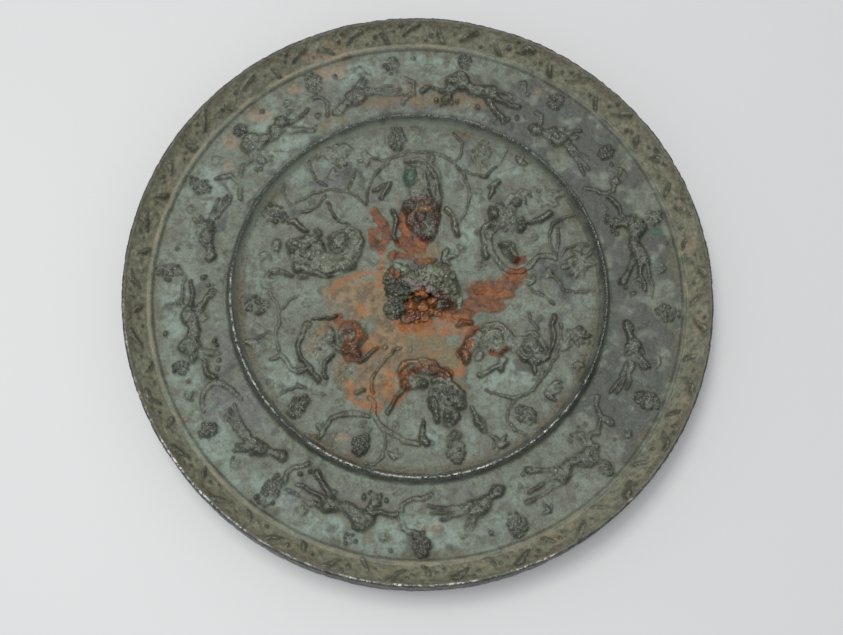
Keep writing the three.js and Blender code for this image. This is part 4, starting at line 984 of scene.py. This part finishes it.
def give_heights(mesh, joins):
    """Lifts the back of a ring to the heights on the plate, and roughens the outer wall."""
    places = np.empty(len(mesh.vertices) * 3)
    mesh.vertices.foreach_get("co", places)
    x, y, z = places.reshape(-1, 3).T / MM
    radius = np.hypot(x, y)
    on_back = (z > BACK_LOW) & (radius < RIM_TOP + 0.05)
    z = np.where(on_back, read_off(heights, x, y), z)
    # The lip is nicked and the wall slightly wavy, within the disc's own radius.
    wall = radius > RIM_TOP - 0.3
    bite = np.clip(0.05 + 0.07 * read_off(fine, x, y + 3 * z) + 0.08 * read_off(small, x, y), 0, 0.35)
    pull = np.where(wall, 1 - bite / np.maximum(radius, 1), 1)
    x, y = x * pull, y * pull
    on_wall = (radius > RIM_TOP + 0.05) & (z > FACE_RISE + 0.4)
    z = np.where(on_wall, z + 0.1 * read_off(small, x, y), z)
    mesh.vertices.foreach_set("co", (np.stack([x, y, z], 1) * MM).ravel())
    # The upright joins keep hard edges, so that the shading runs straight on from ring to ring.
    ends = np.empty(len(mesh.edges) * 2, dtype=int)
    mesh.edges.foreach_get("vertices", ends)
    at_join = np.any([np.abs(radius - r) < 1e-3 for r in joins], axis=0)
    hard = mesh.attributes.new("sharp_edge", "BOOLEAN", "EDGE")
    hard.data.foreach_set("value", at_join[ends].reshape(-1, 2).all(axis=1))
    mesh.polygons.foreach_set("use_smooth", np.ones(len(mesh.polygons), dtype=bool))
    back = on_back | on_wall
    for name, plate in plates.items():
        layer = mesh.attributes.new(name, "FLOAT", "POINT")
        values = np.where(back, read_off(plate, x, y), 0)
        layer.data.foreach_set("value", values.astype(np.float32))
    mesh.attributes.new("lump", "FLOAT", "POINT")
    side = mesh.attributes.new("wall", "FLOAT", "POINT")
    side.data.foreach_set("value", edge(radius, RIM_TOP - 1.2, RIM_TOP - 0.3).astype(np.float32))
    mesh.update()


outer_wall = [(RIM_TOP + 0.15, RIM_HEIGHT - 0.7)]
outer_wall += [(RIM_RADIUS - WALL_DRAFT * (z - 1.6) / 10, z) for z in span(1.6, RIM_HEIGHT - 1.2, 0.7)[::-1]]
outer_wall += [(RIM_RADIUS - 0.08, 1.25), (RIM_RADIUS - 0.3, FACE_RISE + 0.05)]
middle_rows = [0.0] + span(UNDER_KNOB, MIDDLE_RADIUS, MIDDLE_ROW)
inner_rows = span(MIDDLE_RADIUS, RIDGE_RADIUS, INNER_ROW)
outer_rows = span(RIDGE_RADIUS, THIN_RING, OUTER_ROW)
rim_rows = span(THIN_RING, RIM_TOP, RIM_ROW)
castings = [
    spin_ring("middle", middle_rows, [], 0.0, INNER_STEPS),
    spin_ring("inner_field", inner_rows, [], MIDDLE_RADIUS, INNER_STEPS),
    spin_ring("outer_field", outer_rows, [], RIDGE_RADIUS, OUTER_STEPS),
    spin_ring("rim", rim_rows, outer_wall, THIN_RING, OUTER_STEPS),
]
for piece in castings:
    give_heights(piece.data, [MIDDLE_RADIUS, RIDGE_RADIUS, THIN_RING])
    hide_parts("bronze_mirror", "knob")
    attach(piece, "root")

# The knob is a stout crouching beast cast on the middle of the disc, bored through under its belly
# for a cord. Corrosion has swollen and blurred it; what is left is built from rounded masses.
KNOB_GRAIN = 0.22
KNOB_FOOT = INNER_FLOOR - 0.6
FILL_GRAIN = 0.2
HOLE_WIDTH = 8.4
HOLE_TOP = INNER_FLOOR + 6.2
HOLE_DEEP = 5.2
HOLE_X = 0.8


def join_masses(name, masses, grain, rounds):
    """Ellipsoids given by centre and half-axes, melted into one skin."""
    rough = bmesh.new()
    for x, y, z, a, b, c in masses:
        made = bmesh.ops.create_icosphere(rough, subdivisions=4, radius=1)
        bmesh.ops.scale(rough, vec=(a * MM, b * MM, c * MM), verts=made["verts"])
        bmesh.ops.translate(rough, vec=(x * MM, y * MM, z * MM), verts=made["verts"])
    piece = put_shape(name, rough)
    joined = piece.modifiers.new("join", "REMESH")
    joined.mode = "VOXEL"
    joined.voxel_size = grain * MM
    settle(piece)
    smooth = piece.modifiers.new("smooth", "SMOOTH")
    smooth.factor = 0.5
    smooth.iterations = rounds
    return piece


knob = join_masses("crouching_knob", [
    (3.2, 3.2, 4.8, 8.0, 5.3, 8.2), (-1.2, 2.6, 5.0, 5.2, 4.2, 7.0), (6.6, 1.0, 4.8, 5.0, 4.4, 6.6),
    (-7.3, 4.6, 4.4, 2.9, 3.0, 5.0), (-7.2, 0.8, 4.4, 2.9, 2.6, 5.2), (-4.2, -0.6, 5.4, 3.4, 2.0, 5.0),
    (-7.0, -4.3, 4.4, 2.9, 3.4, 4.4), (0.4, -0.2, 7.6, 5.6, 1.6, 3.2), (7.2, -2.2, 4.8, 2.6, 2.0, 4.8),
    (9.2, -0.8, 4.2, 2.4, 3.0, 4.6), (5.9, -4.2, 4.4, 1.5, 1.6, 4.0), (-6.2, 7.4, 4.2, 1.9, 1.5, 3.2),
    (-3.6, 6.0, 4.2, 2.8, 2.4, 4.0), (11.4, -2.6, 3.6, 0.9, 2.4, 2.4), (5.4, 6.6, 4.2, 3.6, 2.2, 4.6),
], KNOB_GRAIN, 6)
bore = bmesh.new()
bore_radius = HOLE_WIDTH / 2 * MM
along_y = Matrix.Rotation(math.pi / 2, 4, "X")
bmesh.ops.create_cone(bore, cap_ends=True, segments=40, radius1=bore_radius, radius2=bore_radius,
                      depth=40 * MM, matrix=along_y)
bmesh.ops.scale(bore, vec=(1, 1, HOLE_DEEP * 2 / HOLE_WIDTH), verts=bore.verts)
bmesh.ops.translate(bore, vec=(HOLE_X * MM, 0, (HOLE_TOP - HOLE_DEEP) * MM), verts=bore.verts)
bore_piece = put_shape("bore", bore)
cut = knob.modifiers.new("bore", "BOOLEAN")
cut.operation = "DIFFERENCE"
cut.solver = "EXACT"
cut.object = bore_piece
settle(knob)
bpy.data.objects.remove(bore_piece)

# Rust and earth have set hard in the mouth of the hole, in broken lumps that slope down and forward
# from its roof, with a black gap left at the top. They only cling there.
plug = join_masses("hole_fill", [
    (-2.4, -3.8, 5.0, 1.9, 2.6, 3.0), (-2.6, -1.6, 6.2, 1.2, 1.0, 2.6), (-2.0, -6.9, 4.4, 3.0, 2.0, 1.6),
    (1.0, -4.6, 4.8, 1.9, 2.5, 2.5), (0.8, -1.4, 9.3, 1.7, 0.8, 0.9), (4.0, -2.8, 5.8, 1.5, 1.5, 3.2),
    (3.3, -5.4, 4.8, 1.1, 1.5, 2.2), (1.6, -7.2, 4.2, 1.8, 1.6, 1.0), (5.2, -5.8, 4.2, 1.8, 1.4, 1.6),
    (0.6, 1.5, 4.6, 3.6, 3.2, 2.6),
], FILL_GRAIN, 2)
settle(plug)


def roughen(piece, depth, marks):
    """Pits and swells a mesh along its normals by the mottling on the plate, and gives it its marks."""
    mesh = piece.data
    places = np.empty(len(mesh.vertices) * 3)
    normals = np.empty(len(mesh.vertices) * 3)
    mesh.vertices.foreach_get("co", places)
    mesh.vertices.foreach_get("normal", normals)
    places, normals = places.reshape(-1, 3) / MM, normals.reshape(-1, 3)
    x, y, z = places.T
    lift = 0.5 * read_off(small, 3 * x + 11, 3 * y + 2 * z)
    lift += 0.6 * read_off(middling, 4 * x - 9, 4 * y + 3 * z)
    lift += 0.3 * read_off(fine, x + 20, y + z)
    places += normals * np.where(z > KNOB_FOOT, np.clip(depth * lift, -0.6, 0.6), 0)[:, None]
    places[:, 2] = np.clip(places[:, 2], INNER_FLOOR - 1.2, KNOB_HEIGHT)
    mesh.vertices.foreach_set("co", (places * MM).ravel())
    inside = np.hypot((x - HOLE_X) / (HOLE_WIDTH / 2), (z - HOLE_TOP + HOLE_DEEP) / HOLE_DEEP) < 1.08
    for name in (*plates, "wall", "lump"):
        layer = mesh.attributes.new(name, "FLOAT", "POINT")
        values = np.full(x.shape, 1.0 if name == "lump" else 0.0)
        if name in marks:
            values = read_off(marks[name], x, y)
        if name == "rust":
            values = np.where(inside & (y < 2), 1, values)
        layer.data.foreach_set("value", values.astype(np.float32))
    for face in mesh.polygons:
        face.use_smooth = True
    mesh.update()
    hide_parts("bronze_mirror", "knob")
    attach(piece, "root")


def stain(strokes, low=0.4, high=0.8):
    """A smear with ragged edges, for the knob and what clogs its hole."""
    return edge(smears(strokes) + ragged, low, high)


roughen(knob, 0.34, {
    "mauve": stain([([(-5.4, 2.2), (-2.6, 1.1), (-0.4, 0.2), (2.4, -0.6), (4.6, -1.1)], 0.8, 1)], high=0.7),
    "rust": stain([([(-8.6, 6), (-6.4, 4.2)], 1.6, 0.8), ([(-1, 7.6), (2, 8.4), (5, 8.6)], 0.7, 1)]),
    "maroon": stain([([(5.6, -1.6), (7.4, -2.6), (8.6, -3.4)], 1.5, 1), ([(-7.6, 3.4)], 2, 0.5)]),
    "raised": stain([([(-9, 0.6), (-5.6, 1), (-4, -0.6)], 1.7, 1), ([(-6.4, -4), (-5.4, -7)], 1.8, 0.9),
                     ([(10.6, 4), (10.6, 1)], 1.2, 0.7)]),
    "verdigris": stain([([(11.6, -1.4), (12, -3.6)], 1, 1), ([(-6.6, 7.6), (-4.6, 6.8)], 1, 0.8),
                        ([(3, 5), (6, 4)], 2.4, 0.5)]),
})
roughen(plug, 0.4, {
    "rust": stain([([(-2.4, -1), (-2.4, -8)], 2.6, 1), ([(4.4, -1), (4.6, -6)], 1.6, 1)], 0.3, 0.6),
    "orange": stain([([(-1.8, -3), (-1.8, -5.4)], 1.4, 1), ([(0.8, -1.4)], 1.4, 1),
                     ([(0, -8), (3, -8)], 1.2, 1), ([(1, -5.4)], 2, 0.9), ([(4, -4), (5, -6.4)], 1.2, 1)],
                    0.25, 0.7),
    "maroon": stain([([(-3.4, -2.4), (-3.4, -5)], 0.7, 1), ([(0, -8), (0.4, -5.6)], 0.5, 1)], high=0.7),
    "earth": stain([([(1, -3), (1, -6.4)], 1.6, 1)], 0.3, 0.7),
    "verdigris": stain([([(3.3, -4.6), (3.3, -6.2)], 1, 1.2)], high=0.7),
})

# The knob is one casting with the disc, so its skin joins the mesh of the disc's middle.
middle = castings[0]
with bpy.context.temp_override(active_object=middle, selected_editable_objects=[middle, knob]):
    bpy.ops.object.join()

# The patina, with painted shade, highlights and glints laid into its colour: one skin of mineral over
# bronze. Its colours come from the marks read off the plate and are mottled finely by noise on the piece's
# own coordinates, in metres.
patina_and_painted_light = bpy.data.materials.new("patina_and_painted_light")
patina_and_painted_light.use_nodes = True
nodes, links = patina_and_painted_light.node_tree.nodes, patina_and_painted_light.node_tree.links
shader = nodes["Principled BSDF"]
shader.inputs["Specular IOR Level"].default_value = 0.45
shader.inputs["IOR"].default_value = 1.5
coordinates = nodes.new("ShaderNodeTexCoord")


def tint(red, green, blue):
    """A colour as it looks on a screen, 0 to 255, for a node's linear socket."""
    return tuple(((c / 255 + 0.055) / 1.055) ** 2.4 for c in (red, green, blue)) + (1.0,)


def noise(size_mm, detail=4.0, roughness=0.6):
    """A noise pattern with lumps of about a size in millimetres."""
    node = nodes.new("ShaderNodeTexNoise")
    node.inputs["Scale"].default_value = 1 / (size_mm * MM)
    node.inputs["Detail"].default_value = detail
    node.inputs["Roughness"].default_value = roughness
    links.new(coordinates.outputs["Object"], node.inputs["Vector"])
    return node.outputs["Fac"]


def mark(name):
    """A mark stored on the mesh."""
    node = nodes.new("ShaderNodeAttribute")
    node.attribute_name = name
    return node.outputs["Fac"]


def ramp(value, low, high, start=0.0, end=1.0):
    """A smooth step of a value from low to high, given as start to end."""
    node = nodes.new("ShaderNodeMapRange")
    node.interpolation_type = "SMOOTHSTEP"
    for socket, number in zip(node.inputs[1:5], (low, high, start, end)):
        socket.default_value = number
    links.new(value, node.inputs[0])
    return node.outputs[0]


def sum_of(a, b, how="ADD"):
    """Two values added, or joined another way."""
    node = nodes.new("ShaderNodeMath")
    node.operation = how
    for socket, value in zip(node.inputs, (a, b)):
        if isinstance(value, (int, float)):
            socket.default_value = value
        else:
            links.new(value, socket)
    return node.outputs[0]


def mixed(share, first, second, how="MIX"):
    """Two colours mixed by a share, or blended another way."""
    node = nodes.new("ShaderNodeMix")
    node.data_type = "RGBA"
    node.blend_type = how
    for socket, value in ((node.inputs[0], share), (node.inputs[6], first), (node.inputs[7], second)):
        if isinstance(value, (int, float, tuple)):
            socket.default_value = value
        else:
            links.new(value, socket)
    return node.outputs[2]


def share_of(name, value):
    """A mark broken up by a pattern."""
    return sum_of(mark(name), value, "MULTIPLY")


def speckled(pattern, low, high, first, second):
    """One colour mottled with another where a pattern passes from low to high."""
    return mixed(ramp(pattern, low, high), tint(*first), tint(*second))


def coat(under, name, strength, over):
    """Lays a colour over the one under it, where a mark is and as strongly as given."""
    return mixed(share_of(name, strength), under, over)


grains, specks, patches, blotches = noise(0.42, 3), noise(1.1, 5, 0.7), noise(2.6, 6, 0.7), noise(7, 5, 0.6)
colour = speckled(blotches, 0.38, 0.62, (113, 124, 111), (101, 107, 93))
colour = mixed(ramp(patches, 0.46, 0.62), colour, tint(88, 88, 74))
colour = mixed(ramp(specks, 0.45, 0.68, 0, 0.8), colour, tint(82, 86, 76))
colour = coat(colour, "verdigris", ramp(noise(2.5), 0.38, 0.58, 0, 0.85), tint(126, 143, 133))
colour = coat(colour, "mauve", ramp(noise(2, 6, 0.7), 0.36, 0.58, 0.1, 0.9), tint(86, 87, 86))
# Painted shade towards the east of the outer field.
colour = coat(colour, "east_shade", 0.85, tint(64, 68, 62))
band = speckled(noise(1.6, 6, 0.75), 0.38, 0.64, (124, 121, 100), (84, 86, 70))
colour = coat(colour, "olive", 0.85, band)
colour = coat(colour, "pink", 0.75, speckled(specks, 0.4, 0.65, (138, 122, 102), (112, 98, 80)))
colour = coat(colour, "loam", 0.8, speckled(specks, 0.35, 0.65, (120, 104, 70), (94, 80, 50)))
soil = speckled(noise(2.8, 6, 0.7), 0.38, 0.62, (132, 108, 76), (90, 73, 49))
colour = coat(colour, "earth", 0.9, soil)
# Dirt and painted shade in rings at the feet of the ridges and lip, and in the hollows of the relief.
colour = mixed(mark("grime_and_shade"), colour, speckled(specks, 0.35, 0.6, (98, 90, 66), (62, 60, 46)))
colour = coat(colour, "hollow", ramp(patches, 0.35, 0.65, 0.65, 0.25), tint(78, 74, 58))
metal = speckled(specks, 0.42, 0.6, (110, 112, 96), (58, 60, 48))
metal = coat(metal, "deep", 0.9, speckled(specks, 0.42, 0.6, (82, 85, 73), (34, 36, 29)))
colour = coat(colour, "raised", ramp(patches, 0.35, 0.65, 0.95, 0.6), metal)
colour = coat(colour, "bunch", 0.75, speckled(grains, 0.44, 0.58, (40, 42, 35), (108, 112, 100)))
# The thin ring's tan, with a painted highlight.
colour = mixed(mark("tan_and_highlight_line"), colour, tint(132, 126, 106))
colour = mixed(mark("lump"), colour, speckled(specks, 0.4, 0.6, (106, 108, 90), (50, 52, 41)))
colour = coat(colour, "lump", share_of("mauve", 0.9), tint(112, 100, 100))
colour = coat(colour, "lump", share_of("raised", 0.9), tint(44, 48, 38))
colour = coat(colour, "lump", share_of("verdigris", 0.9), tint(126, 138, 118))
rusty = speckled(noise(2.2, 8, 0.75), 0.36, 0.62, (62, 30, 10), (118, 62, 16))
colour = coat(colour, "rust", 0.9, rusty)
colour = coat(colour, "orange", ramp(noise(1.6, 6, 0.75), 0.35, 0.6, 0.9, 0.35), tint(146, 84, 26))
colour = coat(colour, "maroon", 0.9, speckled(specks, 0.38, 0.6, (92, 58, 42), (50, 29, 21)))
# Dirt and painted shade on the steep sides of the relief.
colour = coat(colour, "foot", 0.66, mixed(mark("rust"), tint(48, 48, 39), tint(56, 34, 26)))
colour = coat(colour, "emerald", 0.8, tint(52, 82, 64))
# Dark lines of dirt and painted shade at the ridge's feet and the field's edge.
colour = coat(colour, "ring_dirt_and_shade", 0.8, tint(44, 43, 36))
colour = mixed(mark("crest"), colour, speckled(grains, 0.42, 0.6, (50, 53, 52), (132, 136, 130)))
colour = mixed(mark("wall"), colour, speckled(patches, 0.4, 0.62, (44, 45, 43), (74, 77, 66)))
# Painted light on the far part of the ridge's inner wall.
colour = coat(colour, "painted_light_wall", 0.8, tint(160, 168, 152))
# Painted glints on the near side of the ridge and lip.
colour = coat(colour, "painted_glints", ramp(noise(0.9, 4, 0.7), 0.45, 0.56), tint(236, 237, 230))
# Painted glints: light flecks on the dark metal of the relief and the knob.
dark_metal = sum_of(mark("raised"), mark("lump"), "MAXIMUM")
painted_glint_flecks = sum_of(ramp(grains, 0.58, 0.66), ramp(dark_metal, 0, 1, 0.2, 0.7), "MULTIPLY")
colour = mixed(painted_glint_flecks, colour, tint(160, 166, 152))
grain = speckled(noise(0.6, 4, 0.75), 0.32, 0.68, (222, 222, 220), (255, 255, 255))
colour = mixed(0.85, colour, grain, "MULTIPLY")
links.new(colour, shader.inputs["Base Color"])
gloss = sum_of(ramp(specks, 0.3, 0.7, 0.66, 0.48), ramp(dark_metal, 0, 1, 0, 0.14), "SUBTRACT")
worn_bare = sum_of(mark("crest"), mark("wall"), "MAXIMUM")
gloss = sum_of(gloss, ramp(worn_bare, 0, 1, 0, 0.2), "SUBTRACT")
links.new(ramp(mark("crest"), 0, 1, 0, 0.7), shader.inputs["Metallic"])
links.new(gloss, shader.inputs["Roughness"])
bump = nodes.new("ShaderNodeBump")
bump.inputs["Strength"].default_value = 0.7
bump.inputs["Distance"].default_value = 0.22 * MM
links.new(sum_of(grains, specks), bump.inputs["Height"])
links.new(bump.outputs["Normal"], shader.inputs["Normal"])
for piece in (*castings, plug):
    piece.data.materials.append(patina_and_painted_light)

# A pale floor, a wide soft light from beyond the mirror on the left, a long narrow one overhead, and
# weak light all round.
floor_shape = bmesh.new()
bmesh.ops.create_grid(floor_shape, x_segments=1, y_segments=1, size=1.5)
floor = put_shape("floor", floor_shape)
floor.location.z = -0.0001
paint = bpy.data.materials.new("pale_floor")
paint.use_nodes = True
paint_shader = paint.node_tree.nodes["Principled BSDF"]
paint_shader.inputs["Base Color"].default_value = (0.5, 0.5, 0.505, 1)
paint_shader.inputs["Roughness"].default_value = 0.5
floor.data.materials.append(paint)

world = bpy.data.worlds.new("room")
world.use_nodes = True
world.node_tree.nodes["Background"].inputs["Color"].default_value = (0.96, 0.98, 1, 1)
world.node_tree.nodes["Background"].inputs["Strength"].default_value = 0.6
bpy.context.scene.world = world


def soft_light(name, place, size, watts, colour=(1, 1, 1)):
    """A wide lamp turned to the middle of the scene."""
    data = bpy.data.lights.new(name, "AREA")
    data.shape = "RECTANGLE"
    data.size, data.size_y = size
    data.energy = watts
    data.color = colour
    lamp = put(name, data)
    lamp.location = place
    lamp.rotation_euler = (-Vector(place)).to_track_quat("-Z", "Y").to_euler()


soft_light("window", (-0.4, 0.4, 1.45), (0.7, 0.5), 11, (1, 0.985, 0.96))
soft_light("ceiling_tube", (-0.2, -0.15, 1.45), (0.8, 0.05), 8, (0.99, 0.995, 1))
bpy.context.scene.view_settings.view_transform = "Standard"
